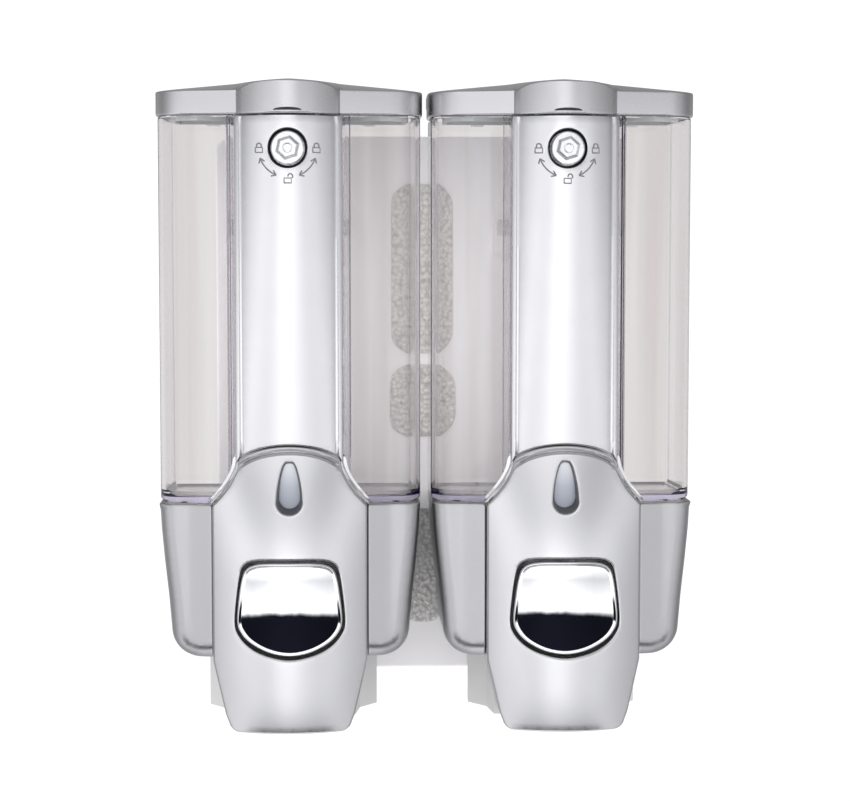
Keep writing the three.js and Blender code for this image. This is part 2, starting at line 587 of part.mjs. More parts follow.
function addMesh(parent, name, geometry, material) {
  const mesh = new THREE.Mesh(geometry, material);
  mesh.name = name;
  parent.add(mesh);
  return mesh;
}

const SIDES = [['left', -PITCH / 2], ['right', PITCH / 2]];
const geometries = UNIT_PARTS.map(([part, make, material]) => [part, toGeometry(make()), material]);
for (const [side, x] of SIDES) {
  const unit = new THREE.Group();
  unit.position.x = x;
  for (const [part, geometry, material] of geometries) addMesh(unit, `${side}_${part}`, geometry, material);
  group.add(unit);
}

addMesh(group, 'wall_plate', toGeometry(makeWallPlate()), whitePlastic);
for (const panel of PANELS) addMesh(group, panel.name, toGeometry(makePanel(panel)), panelPlastic);
const cleat = toGeometry(makeCleat());
for (const [side, x] of SIDES) {
  addMesh(group, `${side}_cleat`, cleat, whitePlastic).position.x = x;
}

WALL_SCREWS.forEach(({ x, z }, i) => {
  const head = -PLATE.thick - 0.3 - 2.2;
  addMesh(group, `wall_screw_${i + 1}`, toGeometry(makeScrew(x, z, head, 4, 2.2, 2, PLATE.thick)), steel);
});

export default group;
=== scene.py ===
"""Twin wall mounted soap dispenser: the looks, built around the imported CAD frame.

Lengths in the geometry code are millimetres in a unit's own frame: x = 0 on the unit's centre plane,
y = 0 on the wall, front towards -y. make_piece() turns them into metres in the frame of the whole dispenser.
"""
import json
import math

import bmesh
import bpy
import numpy as np
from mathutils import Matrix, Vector
from mathutils.geometry import delaunay_2d_cdt


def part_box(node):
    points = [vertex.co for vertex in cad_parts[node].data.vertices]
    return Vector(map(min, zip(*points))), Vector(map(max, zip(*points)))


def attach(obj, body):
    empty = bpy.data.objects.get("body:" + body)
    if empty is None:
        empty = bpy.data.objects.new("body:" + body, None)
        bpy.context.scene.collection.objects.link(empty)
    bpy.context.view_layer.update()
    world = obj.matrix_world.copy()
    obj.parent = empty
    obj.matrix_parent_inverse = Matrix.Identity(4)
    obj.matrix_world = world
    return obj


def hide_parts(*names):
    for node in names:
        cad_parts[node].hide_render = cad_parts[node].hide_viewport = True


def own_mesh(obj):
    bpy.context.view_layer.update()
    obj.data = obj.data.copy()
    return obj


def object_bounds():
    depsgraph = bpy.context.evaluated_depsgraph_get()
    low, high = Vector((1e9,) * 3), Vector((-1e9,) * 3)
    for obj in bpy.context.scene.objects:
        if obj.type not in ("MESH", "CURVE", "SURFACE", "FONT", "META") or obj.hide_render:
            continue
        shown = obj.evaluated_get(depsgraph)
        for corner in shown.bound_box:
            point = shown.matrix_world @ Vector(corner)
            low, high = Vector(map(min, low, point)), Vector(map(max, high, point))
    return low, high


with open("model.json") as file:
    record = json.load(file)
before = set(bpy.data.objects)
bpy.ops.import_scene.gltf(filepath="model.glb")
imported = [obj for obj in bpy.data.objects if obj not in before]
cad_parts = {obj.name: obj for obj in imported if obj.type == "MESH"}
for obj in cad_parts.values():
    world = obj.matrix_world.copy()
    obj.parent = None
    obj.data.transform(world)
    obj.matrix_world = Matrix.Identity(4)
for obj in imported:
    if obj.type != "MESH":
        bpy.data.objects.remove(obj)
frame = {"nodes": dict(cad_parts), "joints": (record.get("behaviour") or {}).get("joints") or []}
cad_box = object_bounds()

MM = 0.001
ROOT = "wall_frame"


def box_mm(node):
    """Lowest and highest corner of a CAD node, in millimetres."""
    low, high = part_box(node)
    return [c / MM for c in low], [c / MM for c in high]


# ---- Dimensions taken from the frame ----
LID_LOW, LID_HIGH = box_mm("left_lid")
TANK_LOW, TANK_HIGH = box_mm("left_tank")
SPINE_HIGH = box_mm("left_spine_cover")[1]
COVER_LOW, COVER_HIGH = box_mm("left_pump_cover")
SHELL_LOW, SHELL_HIGH = box_mm("left_base_shell")
BUTTON_LOW, BUTTON_HIGH = box_mm("left_button")
PLUG_LOW, PLUG_HIGH = box_mm("left_lock_plug")
DROP_LOW, DROP_HIGH = box_mm("left_drop_window")
PLATE_LOW, PLATE_HIGH = box_mm("wall_plate")

UNIT_X = {side: sum(corner[0] for corner in box_mm(f"{side}_lid")) / 2 for side in ("left", "right")}
LID_HALF = (LID_HIGH[0] - LID_LOW[0]) / 2
TANK_HALF = (TANK_HIGH[0] - TANK_LOW[0]) / 2
SHELL_HALF = (SHELL_HIGH[0] - SHELL_LOW[0]) / 2
COLUMN_HALF = (COVER_HIGH[0] - COVER_LOW[0]) / 2
LOCK_Z = (PLUG_LOW[2] + PLUG_HIGH[2]) / 2
TANK_TOP = SPINE_HIGH[2]
JOINTS = {joint["name"]: joint for joint in frame["joints"]}
_, HINGE_Y, HINGE_Z = (c / MM for c in JOINTS["left_lid_hinge"]["pos_m"])
HINGE_LINE = (0, HINGE_Y, HINGE_Z)

# ---- Shape constants the covers share: half widths (x), depths (y) and heights (z) in a unit's own frame ----
LID_BOTTOM = TANK_TOP + 0.4
LID_EDGE = LID_BOTTOM + 8.6
LID_CROWN = LID_HIGH[2]
LID_BULGE = 2.8
LID_FALL = 3.8
LID_REAR = LID_HIGH[1]
LID_WALL = 2.0
HINGE_BORE, KNUCKLE_R, LUG_R = 1.5, 2.8, 2.6
KNUCKLE_SPAN, LUG_SPAN = (19, 25.4), (26, 31)
CREASE_X = 17.3
CORNER_R = 13.0
CORNER_Y = -36.0
CORNER_TURN = math.radians(78)
CORNER_END_Y = CORNER_Y - CORNER_R * math.sin(CORNER_TURN)
CREASE_Y = -52.0
TANK_REAR = -9.0
LOCK_RING_R = 6.9
RAIL_HALF = 19.0
RIDGE_X = 18.4
RIDGE_Y = -53.3
HEAD_TOP = COVER_HIGH[2]
ARCH_HALF, ARCH_HEIGHT, ARCH_FOOT, NECK = 22.0, 11.5, -20.0, 18.2
ARCH_DROPS = (4.4, 3.5, 2.6, 1.8, 1.1, 0.6, 0.25, 0.07)
HEAD_LOW = -35.4
SHOULDER = SHELL_LOW[2]
COVER_BOTTOM = COVER_LOW[2]
BOTTOM_HALF = 21.5
COLUMN_EDGE_Y = -53.8
OUTLET_LINE = (0, -24, 0)
COVER_REAR = -29.6
SLIVER = 0.02 * MM
FULL_TURN = 2 * math.pi


def lerp(a, b, t):
    return a + (b - a) * t


def clamp(value, low=0.0, high=1.0):
    return max(low, min(high, value))


def spread(a, b, steps):
    return [lerp(a, b, i / steps) for i in range(steps + 1)]


def on_side(sign, span):
    """A span of x on the left (-1) or right (1) of the centre plane, lowest first."""
    return sorted(sign * x for x in span)


# ---- Surfaces ----
def spine_crown(z):
    """How far the spine's middle stands in front of its ridges at a height."""
    return lerp(4.4, 8.2, (z - HEAD_TOP) / (TANK_TOP - HEAD_TOP))


def spine_y(x, z):
    return RIDGE_Y - spine_crown(z) * max(0.0, 1 - (x / RIDGE_X) ** 2)


def tank_front_y(x):
    return lerp(CREASE_Y, CORNER_END_Y, max(0.0, abs(x) - 19.4) / 17)


def column_y(x, z):
    """Front of the pump cover: convex across, fullest at the button, drawn in at the foot."""
    swell = math.sin(math.pi / 2 * clamp((HEAD_TOP - z) / 50))
    tuck = 1.2 * (max(0.0, SHOULDER - z) / (SHOULDER - COVER_BOTTOM)) ** 2
    return COLUMN_EDGE_Y + tuck - lerp(3.9, 9.4, swell) * (1 - (x / COLUMN_HALF) ** 2)


def column_half(z):
    """Half width of the pump cover: arch, flare, straight sides, tapered foot."""
    if z > ARCH_FOOT:
        drop = clamp((HEAD_TOP - z) / ARCH_HEIGHT)
        return min(NECK, ARCH_HALF * math.sqrt(max(0.0, 1 - (1 - drop) ** 2)))
    if z > HEAD_LOW:
        return lerp(NECK, COLUMN_HALF, ((ARCH_FOOT - z) / (ARCH_FOOT - HEAD_LOW)) ** 1.7)
    if z >= SHOULDER:
        return COLUMN_HALF
    return lerp(COLUMN_HALF, BOTTOM_HALF, (SHOULDER - z) / (SHOULDER - COVER_BOTTOM))


# ---- Outline helpers ----
def mirrored(half):
    """A closed loop from its right half, given from one end of the centre line to the other."""
    left = [(-x, z) for x, z in reversed(half) if x > 1e-6]
    return list(half) + left


def arc(cx, cz, r, start, end, steps):
    return [(cx + r * math.cos(a), cz + r * math.sin(a)) for a in spread(start, end, steps)]


def resample(loop, step):
    """The same closed loop with points about a step apart, keeping its corners."""
    out = []
    for (ax, az), (bx, bz) in zip(loop, loop[1:] + loop[:1]):
        count = max(1, round(math.hypot(bx - ax, bz - az) / step))
        out += [(lerp(ax, bx, i / count), lerp(az, bz, i / count)) for i in range(count)]
    return out


def area(loop):
    return sum(ax * bz - bx * az for (ax, az), (bx, bz) in zip(loop, loop[1:] + loop[:1])) / 2


def inset_loop(loop, distance):
    """Each point moved inwards along its bisector."""
    sign = 1 if area(loop) > 0 else -1
    out = []
    for i, (px, pz) in enumerate(loop):
        ax, az = loop[i - 1]
        bx, bz = loop[(i + 1) % len(loop)]
        u = Vector((px - ax, pz - az)).normalized()
        v = Vector((bx - px, bz - pz)).normalized()
        normal = Vector((-(u.y + v.y), u.x + v.x))
        if normal.length < 1e-6:
            out.append((px, pz))
            continue
        normal.normalize()
        stretch = clamp(normal.dot(Vector((-u.y, u.x))), 0.5, 1)
        out.append((px + sign * normal.x * distance / stretch, pz + sign * normal.y * distance / stretch))
    return out


def distance_to(points, line, closed=True):
    """Distance from each point to a polyline."""
    p = np.asarray(points, dtype=float)
    a = np.asarray(line, dtype=float)
    b = np.roll(a, -1, axis=0)
    if not closed:
        a, b = a[:-1], b[:-1]
    d = b - a
    t = ((p[:, None, :] - a[None]) * d[None]).sum(2) / np.maximum((d * d).sum(1), 1e-12)[None]
    nearest = a[None] + np.clip(t, 0, 1)[..., None] * d[None]
    return np.sqrt(((p[:, None, :] - nearest) ** 2).sum(2).min(1))


def offset_lines(loop, distance):
    """The runs of a loop's inset that stay a full distance from it, so that they never cross."""
    ring = inset_loop(loop, distance)
    good = distance_to(ring, loop) > abs(distance) * 0.97
    runs, run = [], []
    for point, keep in zip(ring + ring[:1], list(good) + [good[0]]):
        if keep:
            run.append(point)
        elif run:
            runs.append(run)
            run = []
    return [run for run in runs + [run] if len(run) > 1]


def inside(points, loop):
    p = np.asarray(points, dtype=float)
    a = np.asarray(loop, dtype=float)
    b = np.roll(a, -1, axis=0)
    x, z = p[:, 0][:, None], p[:, 1][:, None]
    crosses = (a[:, 1][None] > z) != (b[:, 1][None] > z)
    rise = np.where(np.abs(b[:, 1] - a[:, 1]) < 1e-12, 1e-12, b[:, 1] - a[:, 1])
    at = a[:, 0][None] + (z - a[:, 1][None]) * ((b[:, 0] - a[:, 0]) / rise)[None]
    return (np.sum(crosses & (x < at), axis=1) % 2) == 1


def rounding(distance, radius):
    """How far a rounded edge has dropped at a distance from the edge."""
    if distance >= radius:
        return 0.0
    return radius - math.sqrt(max(0.0, radius ** 2 - (radius - distance) ** 2))


def within(points, outline, holes):
    """Which points are inside an outline and outside its holes."""
    keep = inside(points, outline)
    for hole in holes:
        keep &= ~inside(points, hole)
    return keep


def triangulate(outline, holes, step, bands=(), lines=()):
    """Flat triangles inside an outline and outside its holes, with extra rings near each edge.

    Returns the points, the triangles and, for the outline and each hole, the point indices of its loop.
    """
    loops = [outline] + list(holes)
    lines = list(lines)
    for loop in loops:
        direction = 1 if loop is outline else -1
        for band in bands:
            lines += offset_lines(loop, direction * band)
    points, edges = [], []
    for loop in loops:
        start = len(points)
        points += loop
        edges += [(start + i, start + (i + 1) % len(loop)) for i in range(len(loop))]
    for line in lines:
        start = len(points)
        points += line
        edges += [(start + i, start + i + 1) for i in range(len(line) - 1)]
    xs, zs = [p[0] for p in outline], [p[1] for p in outline]
    grid = [(x, z) for x in np.arange(min(xs), max(xs), step) for z in np.arange(min(zs), max(zs), step)]
    if grid:
        keep = within(grid, outline, holes)
        for loop in loops:
            keep &= distance_to(grid, loop) > step * 0.55
        for line in lines:
            keep &= distance_to(grid, line, closed=False) > step * 0.55
        points += [g for g, k in zip(grid, keep) if k]
    coords = [Vector(p) for p in points]
    verts, _, faces, origins, _, _ = delaunay_2d_cdt(coords, edges, [], 0, 1e-5)
    flat = [(v.x, v.y) for v in verts]
    centres = [tuple(sum(flat[i][k] for i in f) / 3 for k in (0, 1)) for f in faces]
    keep = within(centres, outline, holes)
    new_index = {old: new for new, olds in enumerate(origins) for old in olds}
    loop_indices, start = [], 0
    for loop in loops:
        loop_indices.append([new_index[start + i] for i in range(len(loop))])
        start += len(loop)
    return flat, [list(f) for f, k in zip(faces, keep) if k], loop_indices


# ---- Mesh builders ----
class Build:
    """Vertices and faces of one piece, in millimetres."""

    def __init__(self):
        self.verts = []
        self.faces = []

    def add(self, points, faces):
        start = len(self.verts)
        self.verts += [tuple(p) for p in points]
        self.faces += [[start + i for i in f] for f in faces]
        return list(range(start, start + len(points)))

    def bridge(self, a, b):
        count = len(a)
        for i in range(count):
            j = (i + 1) % count
            self.faces.append([a[i], a[j], b[j], b[i]])

    def bridge_rows(self, rows):
        for a, b in zip(rows, rows[1:]):
            self.bridge(a, b)

    def merge(self, other):
        self.add(other.verts, other.faces)


def shell(outline, wall, front, back, holes=(), step=1.6, edge_r=1.0, hole_r=0.5, round_line=None, bands=None,
          solid=False, lines=()):
    """A moulded cover: a curved front with rounded edges, side walls back to a rim, and open behind.

    front(x, z) and back(x, z) give y. round_line limits the rounded edge to part of the outline.
    A solid one is closed by a flat back instead.
    """
    part = Build()
    biggest = max(edge_r, hole_r)
    bands = bands or [biggest * k for k in (0.06, 0.2, 0.42, 0.7, 1.0)]
    flat, faces, loops = triangulate(outline, holes, step, bands, lines)
    edge_line, closed = (round_line, False) if round_line else (outline, True)
    drop = [rounding(d, edge_r) for d in distance_to(flat, edge_line, closed)]
    for hole in holes:
        drop = [a + rounding(d, hole_r) for a, d in zip(drop, distance_to(flat, hole))]
    outer = part.add([(x, front(x, z) + dy, z) for (x, z), dy in zip(flat, drop)], faces)
    rim = part.add([(x, back(x, z), z) for x, z in outline], [])
    part.bridge([outer[i] for i in loops[0]], rim)
    if solid:
        flat_back, faces_back, loops_back = triangulate(outline, holes, step * 2)
        behind = part.add([(x, back(x, z), z) for x, z in flat_back], faces_back)
        for loop, loop_back in zip(loops[1:], loops_back[1:]):
            part.bridge([outer[i] for i in loop], [behind[i] for i in loop_back])
        part.bridge(rim, [behind[i] for i in loops_back[0]])
        return part
    inner_line = inset_loop(outline, wall)
    flat_in, faces_in, loops_in = triangulate(inner_line, holes, step * 2)
    limit = max(back(x, z) for x, z in outline)
    drop_in = [rounding(d, edge_r) for d in distance_to(flat_in, edge_line, closed)]
    lining = [(x, min(front(x, z) + wall + dy, limit - 0.1), z) for (x, z), dy in zip(flat_in, drop_in)]
    inner = part.add(lining, faces_in)
    rim_in = part.add([(x, back(x, z), z) for x, z in inner_line], [])
    part.bridge(rim, rim_in)
    part.bridge(rim_in, [inner[i] for i in loops_in[0]])
    for loop, loop_in in zip(loops[1:], loops_in[1:]):
        part.bridge([outer[i] for i in loop], [inner[i] for i in loop_in])
    return part


def loft(rings, cap=True):
    """A body through rings of points with the same count, closed by a fan at each end."""
    part = Build()
    rows = [part.add(ring, []) for ring in rings]
    part.bridge_rows(rows)
    if cap:
        part.faces += [rows[0], rows[-1][::-1]]
    return part


def lathe(profile, segments=48, axis="y", centre=(0, 0, 0)):
    """A round body. The profile is (radius, height) pairs, closed on the axis or on itself."""
    def place(r, h, angle):
        u, v = r * math.cos(angle), r * math.sin(angle)
        point = {"y": (u, h, v), "z": (u, v, h), "x": (h, u, v)}[axis]
        return tuple(p + c for p, c in zip(point, centre))
    angles = [FULL_TURN * i / segments for i in range(segments)]
    rings = [[place(max(r, 1e-4), h, angle) for angle in angles] for r, h in profile]
    return loft(rings, cap=profile[0] != profile[-1])


def hinge_sleeve(radius, a, b):
    """A tube from a to b round the hinge pin, bevelled outside."""
    edge = radius - 0.1
    profile = [(HINGE_BORE, a), (edge, a), (radius, a + 0.2), (radius, b - 0.2), (edge, b), (HINGE_BORE, b)]
    return lathe(profile + profile[:1], 28, "x", HINGE_LINE)


def block(x0, x1, y0, y1, z0, z1, r=0.4):
    """A box with chamfered upright edges and ends."""
    def ring(z, inset):
        xa, xb, ya, yb = x0 + inset, x1 - inset, y0 + inset, y1 - inset
        return [(xa + r, ya, z), (xb - r, ya, z), (xb, ya + r, z), (xb, yb - r, z),
                (xb - r, yb, z), (xa + r, yb, z), (xa, yb - r, z), (xa, ya + r, z)]
    return loft([ring(z0, r), ring(z0 + r, 0), ring(z1 - r, 0), ring(z1, r)])


def coil(radius, wire, y0, y1, turns, centre_z, segments=28, sides=10):
    """A closed helical wire about the y axis."""
    rings = []
    steps = int(turns * segments)
    for i in range(steps + 1):
        t = i / steps
        angle = FULL_TURN * turns * t
        out = Vector((math.cos(angle), 0, math.sin(angle)))
        centre = Vector((0, lerp(y0, y1, t), centre_z)) + out * radius
        rings.append([centre + (out * math.cos(b) + Vector((0, 1, 0)) * math.sin(b)) * wire
                      for b in spread(0, FULL_TURN, sides)[:-1]])
    return loft(rings)


def add_object(name, data):
    obj = bpy.data.objects.new(name, data)
    bpy.context.collection.objects.link(obj)
    return obj


def make_piece(name, part, material, body, x=0.0, replaces=(), sharp=35):
    """Turns a build into an object that rides on a body and stands for CAD nodes.

    Edges above the sharp angle stay sharp. Slivers between two lines of points don't count.
    """
    mesh = bpy.data.meshes.new(name)
    mesh.from_pydata([((p[0] + x) * MM, p[1] * MM, p[2] * MM) for p in part.verts], [], part.faces)
    work = bmesh.new()
    work.from_mesh(mesh)
    bmesh.ops.remove_doubles(work, verts=work.verts, dist=1e-6)
    bmesh.ops.recalc_face_normals(work, faces=work.faces)
    slivers = {face for face in work.faces
               if 2 * face.calc_area() < SLIVER * max(edge.calc_length() for edge in face.edges)}
    for face in work.faces:
        face.smooth = True
    for edge in work.edges:
        edge.smooth = not slivers.isdisjoint(edge.link_faces) or edge.calc_face_angle(0) < math.radians(sharp)
    work.to_mesh(mesh)
    work.free()
    mesh.materials.append(material)
    obj = add_object(name, mesh)
    modifier = obj.modifiers.new("normals", "WEIGHTED_NORMAL")
    modifier.mode = "FACE_AREA"
    modifier.keep_sharp = True
    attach(obj, body)
    if replaces:
        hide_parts(*replaces)
    return obj


class Unit:
    """One dispenser of the pair, which names its pieces and sets them on its own centre plane."""

    def __init__(self, side, x):
        self.side = side
        self.x = x

    def node(self, name):
        return f"{self.side}_{name}"

    def box(self, name):
        return box_mm(self.node(name))

    def piece(self, name, part, material, slot, node=None, body=None, sharp=35):
        """Adds a piece, which may stand for a CAD node and ride on one of the unit's moving bodies."""
        owner = self.node(body) if body else ROOT
        stands_for = [self.node(node)] if node else ()
        return make_piece(self.node(name), part, material, owner, self.x, stands_for, sharp)


# ---- Materials ----
def colour_ramp(tree, source, stops):
    """A colour ramp over a source, from (place, colour) stops."""
    node = tree.nodes.new("ShaderNodeValToRGB")
    elements = node.color_ramp.elements
    while len(elements) < len(stops):
        elements.new(0.5)
    for element, (place, colour) in zip(elements, stops):
        element.position = place
        element.color = (*colour, 1)
    tree.links.new(source, node.inputs["Fac"])
    return node.outputs["Color"]


class Nodes:
    """A material with its Principled shader and short calls for the nodes that feed it."""

    def __init__(self, name):
        self.material = bpy.data.materials.new(name)
        self.material.use_nodes = True
        self.tree = self.material.node_tree
        self.shader = self.tree.nodes["Principled BSDF"]
        self.coords = self.tree.nodes.new("ShaderNodeTexCoord")

    def set(self, **values):
        for key, value in values.items():
            self.shader.inputs[key.replace("_", " ")].default_value = value
        return self

    def link(self, source, target):
        self.tree.links.new(source, target)

    def noise(self, scale, detail=3.0, roughness=0.5, stretch=1.0):
        """Noise in object space; a stretch below 1 draws it out upwards into streaks."""
        mapping = self.tree.nodes.new("ShaderNodeMapping")
        mapping.inputs["Scale"].default_value = (1, 1, stretch)
        self.link(self.coords.outputs["Object"], mapping.inputs["Vector"])
        node = self.tree.nodes.new("ShaderNodeTexNoise")
        node.inputs["Scale"].default_value = scale
        node.inputs["Detail"].default_value = detail
        node.inputs["Roughness"].default_value = roughness
        self.link(mapping.outputs["Vector"], node.inputs["Vector"])
        return node.outputs["Fac"]

    def spread(self, source, low, high):
        """Maps 0..1 onto a range of values."""
        node = self.tree.nodes.new("ShaderNodeMapRange")
        node.inputs["To Min"].default_value = low
        node.inputs["To Max"].default_value = high
        self.link(source, node.inputs["Value"])
        return node.outputs["Result"]

    def tone(self, source, *stops):
        """Base colour from a ramp over a source."""
        self.link(colour_ramp(self.tree, source, stops), self.shader.inputs["Base Color"])

    def gloss(self, source, low, high):
        self.link(self.spread(source, low, high), self.shader.inputs["Roughness"])

    def bump(self, source, strength, distance):
        node = self.tree.nodes.new("ShaderNodeBump")
        node.inputs["Strength"].default_value = strength
        node.inputs["Distance"].default_value = distance
        self.link(source, node.inputs["Height"])
        self.link(node.outputs["Normal"], self.shader.inputs["Normal"])


def finish(name, tone, gloss, relief=None, **values):
    """A material with mottled colour and gloss, and perhaps a fine relief.

    tone is (noise scale, detail, dark, light), gloss is (noise scale, detail, low, high) and relief is
    (noise scale, detail, strength, height).
    """
    n = Nodes(name).set(**values)
    n.tone(n.noise(*tone[:2]), (0.3, tone[2]), (0.7, tone[3]))
    n.gloss(n.noise(*gloss[:2]), *gloss[2:])
    if relief:
        n.bump(n.noise(*relief[:2]), *relief[2:])
    return n.material


def silver_paint(name, tone, roughness):
    """Satin silver paint over moulded plastic: fine metal flake under a faint orange peel."""
    dark, light = ((tone * k, tone * k, tone * k * 1.015) for k in (0.975, 1.02))
    return finish(name, (2600, 2.0, dark, light), (70, 4.0, roughness - 0.025, roughness + 0.025),
                  (3200, 1.0, 0.03, 0.00003), Metallic=0.97, Specular_IOR_Level=0.5, Coat_Weight=0.1,
                  Coat_Roughness=0.2)


def chrome_plate():
    """Bright plating with faint smears that only change its gloss."""
    n = Nodes("chrome_plate").set(Metallic=1.0)
    n.tone(n.noise(40, 3.0), (0.35, (0.86, 0.865, 0.875)), (0.65, (0.91, 0.915, 0.92)))
    n.gloss(n.noise(130, 5.0), 0.015, 0.05)
    return n.material


def clear_plastic():
    """Clear moulded plastic, with a cool tint where the light runs along a wall."""
    n = Nodes("clear_plastic").set(Transmission_Weight=1.0, IOR=1.47)
    # Painted reflection and shade: the tint runs in upright streaks, lighter and darker, standing in for soft
    # reflections and shade seen through the walls.
    n.tone(n.noise(110, 2.0, stretch=0.04), (0.36, (0.905, 0.885, 0.875)), (0.64, (0.995, 0.99, 0.985)))
    n.gloss(n.noise(60, 4.0), 0.01, 0.05)
    n.bump(n.noise(38, 2.0, stretch=0.06), 0.12, 0.0008)
    absorb = n.tree.nodes.new("ShaderNodeVolumeAbsorption")
    absorb.inputs["Color"].default_value = (0.62, 0.58, 0.82, 1)
    absorb.inputs["Density"].default_value = 26
    n.link(absorb.outputs["Volume"], n.tree.nodes["Material Output"].inputs["Volume"])
    return n.material


def moulded_plastic(name, dark, light, roughness, grain=900, **values):
    """Opaque moulded plastic with a fine spark-eroded texture."""
    return finish(name, (35, 4.0, dark, light), (grain / 4, 3.0, roughness - 0.06, roughness + 0.06),
                  (grain, 3.0, 0.12, 0.0001), Specular_IOR_Level=0.45, **values)


def sparkle_insert():
    """Coarse grained insert: pale crystals with bright facets and darker seams between them."""
    n = Nodes("sparkle_insert").set(Metallic=0.15, Specular_IOR_Level=0.7)
    cells = n.tree.nodes.new("ShaderNodeTexVoronoi")
    cells.inputs["Scale"].default_value = 620
    n.link(n.coords.outputs["Object"], cells.inputs["Vector"])
    n.tone(cells.outputs["Distance"], (0.1, (0.88, 0.87, 0.85)), (0.45, (0.78, 0.765, 0.75)),
           (0.8, (0.60, 0.58, 0.57)))
    n.gloss(n.noise(900, 2.0), 0.12, 0.55)
    n.bump(cells.outputs["Distance"], 0.9, 0.0006)
    return n.material


def insert_painted_reflection():
    """Blue grey gloss insert with a painted reflection: paler towards its upper end, darker at its foot."""
    n = Nodes("insert_painted_reflection").set(Metallic=0.1, Coat_Weight=0.3, Coat_Roughness=0.05)
    split = n.tree.nodes.new("ShaderNodeSeparateXYZ")
    n.link(n.coords.outputs["Object"], split.inputs[0])
    rise = n.spread(split.outputs["Z"], 0.0, 1.0)
    rise.node.inputs["From Min"].default_value = DROP_LOW[2] * MM
    rise.node.inputs["From Max"].default_value = DROP_HIGH[2] * MM
    # Painted reflection: the tone runs from dark blue grey at the foot to pale at the top.
    n.tone(rise, (0.0, (0.33, 0.36, 0.43)), (0.5, (0.45, 0.48, 0.55)), (0.95, (0.74, 0.76, 0.80)))
    n.gloss(n.noise(200, 3.0), 0.14, 0.22)
    return n.material


# One silver paint in four painted tones: the spine lightest, the lid and cover a little darker and the wings
# darkest, each set for how light falls on it (painted light and shade).
SILVER = silver_paint("silver_paint", 0.72, 0.255)
SILVER_LID_SHADED = silver_paint("silver_lid_shaded", 0.62, 0.27)
SILVER_COVER_SHADED = silver_paint("silver_cover", 0.67, 0.25)
SILVER_WING_SHADED = silver_paint("silver_wing_shaded", 0.49, 0.33)
CHROME = chrome_plate()
CLEAR = clear_plastic()
# The clear plastic where it is thick and unpolished, as on a hook or a lug.
MILKY = finish("milky_plastic", (150, 3.0, (0.80, 0.79, 0.80), (0.88, 0.87, 0.88)), (300, 3.0, 0.3, 0.42),
               Transmission_Weight=0.45, IOR=1.47)
# Zinc plated steel with fine drawn marks, and tumbled steel with fine scratches.
STEEL = finish("zinc_steel", (300, 4.0, (0.45, 0.455, 0.46), (0.62, 0.62, 0.615)), (500, 3.0, 0.22, 0.4),
               (1800, 2.0, 0.08, 0.00005), Metallic=1.0)
SATIN = finish("satin_steel", (420, 4.0, (0.74, 0.745, 0.75), (0.84, 0.845, 0.85)), (900, 3.0, 0.19, 0.32),
               (2400, 2.0, 0.1, 0.00005), Metallic=1.0)
SPARKLE = sparkle_insert()
INSERT_PAINTED_REFLECTION = insert_painted_reflection()
# Painted shade: a near-black finish put at the bottom of narrow gaps and recesses, where only shade falls.
GAP_SHADE = finish("painted_gap_shade", (300, 3.0, (0.012, 0.012, 0.014), (0.025, 0.025, 0.028)), (500, 2.0, 0.5, 0.7))
# Painted shade: near black for the sloped wall of the tear-drop recess, where only shade falls.
RECESS_SHADE = moulded_plastic("painted_recess_shade", (0.05, 0.05, 0.055), (0.09, 0.09, 0.095), 0.3)
# Painted shade: the lock signs' raised lines are dark grey to stand in for the shade along their relief.
SIGN = moulded_plastic("sign_painted_shade", (0.15, 0.15, 0.155), (0.22, 0.22, 0.225), 0.5)
GREY = moulded_plastic("grey_plastic", (0.64, 0.635, 0.64), (0.68, 0.675, 0.68), 0.45)
WHITE = moulded_plastic("white_plastic", (0.80, 0.79, 0.79), (0.84, 0.83, 0.83), 0.4)
# White plastic with a painted glow: a faint emission that makes it lighter than the light on it would.
PLATE = moulded_plastic("plate_plastic", (0.86, 0.845, 0.86), (0.89, 0.875, 0.89), 0.42,
                        Emission_Color=(1, 0.985, 0.99, 1), Emission_Strength=0.08)
RUBBER = moulded_plastic("silicone", (0.50, 0.52, 0.54), (0.60, 0.62, 0.64), 0.6, grain=500)


# ---- Lid ----
def plan_loop(half, rear, inset, middle):
    """A unit's plan outline as (x, y), from the rear of its right side round to the rear of its left side."""
    w = half - inset
    rear_r = 2.0
    right = [(w - rear_r + rear_r * math.cos(a), rear - inset - rear_r + rear_r * math.sin(a))
             for a in spread(math.pi / 2, 0, 4)]
    right += [(w - CORNER_R + CORNER_R * math.cos(a), CORNER_Y - (CORNER_R - inset * 0.85) * math.sin(a))
              for a in spread(0, CORNER_TURN, 10)]
    return mirrored(right + middle(inset))


def lid_bulge_y(x):
    """Front of the lid's bulge, which stands out a little from the spine below it."""
    crown = spine_crown(TANK_TOP) + 0.9
    return RIDGE_Y - crown * (1 - (x / RIDGE_X) ** 2)


def lid_middle(inset):
    """The lid's wing and its bulge, from the corner to the centre plane."""
    wing_start = CREASE_X + 0.9
    wing_end = LID_HALF - CORNER_R * (1 - math.cos(CORNER_TURN))
    wing = [(x, lerp(CREASE_Y - 0.6, CORNER_END_Y, (x - wing_start) / (wing_end - wing_start)) + inset)
            for x in spread(wing_end - 2, wing_start, 6)]
    return wing + [(x, lid_bulge_y(x) + inset) for x in spread(CREASE_X, 0, 12)]


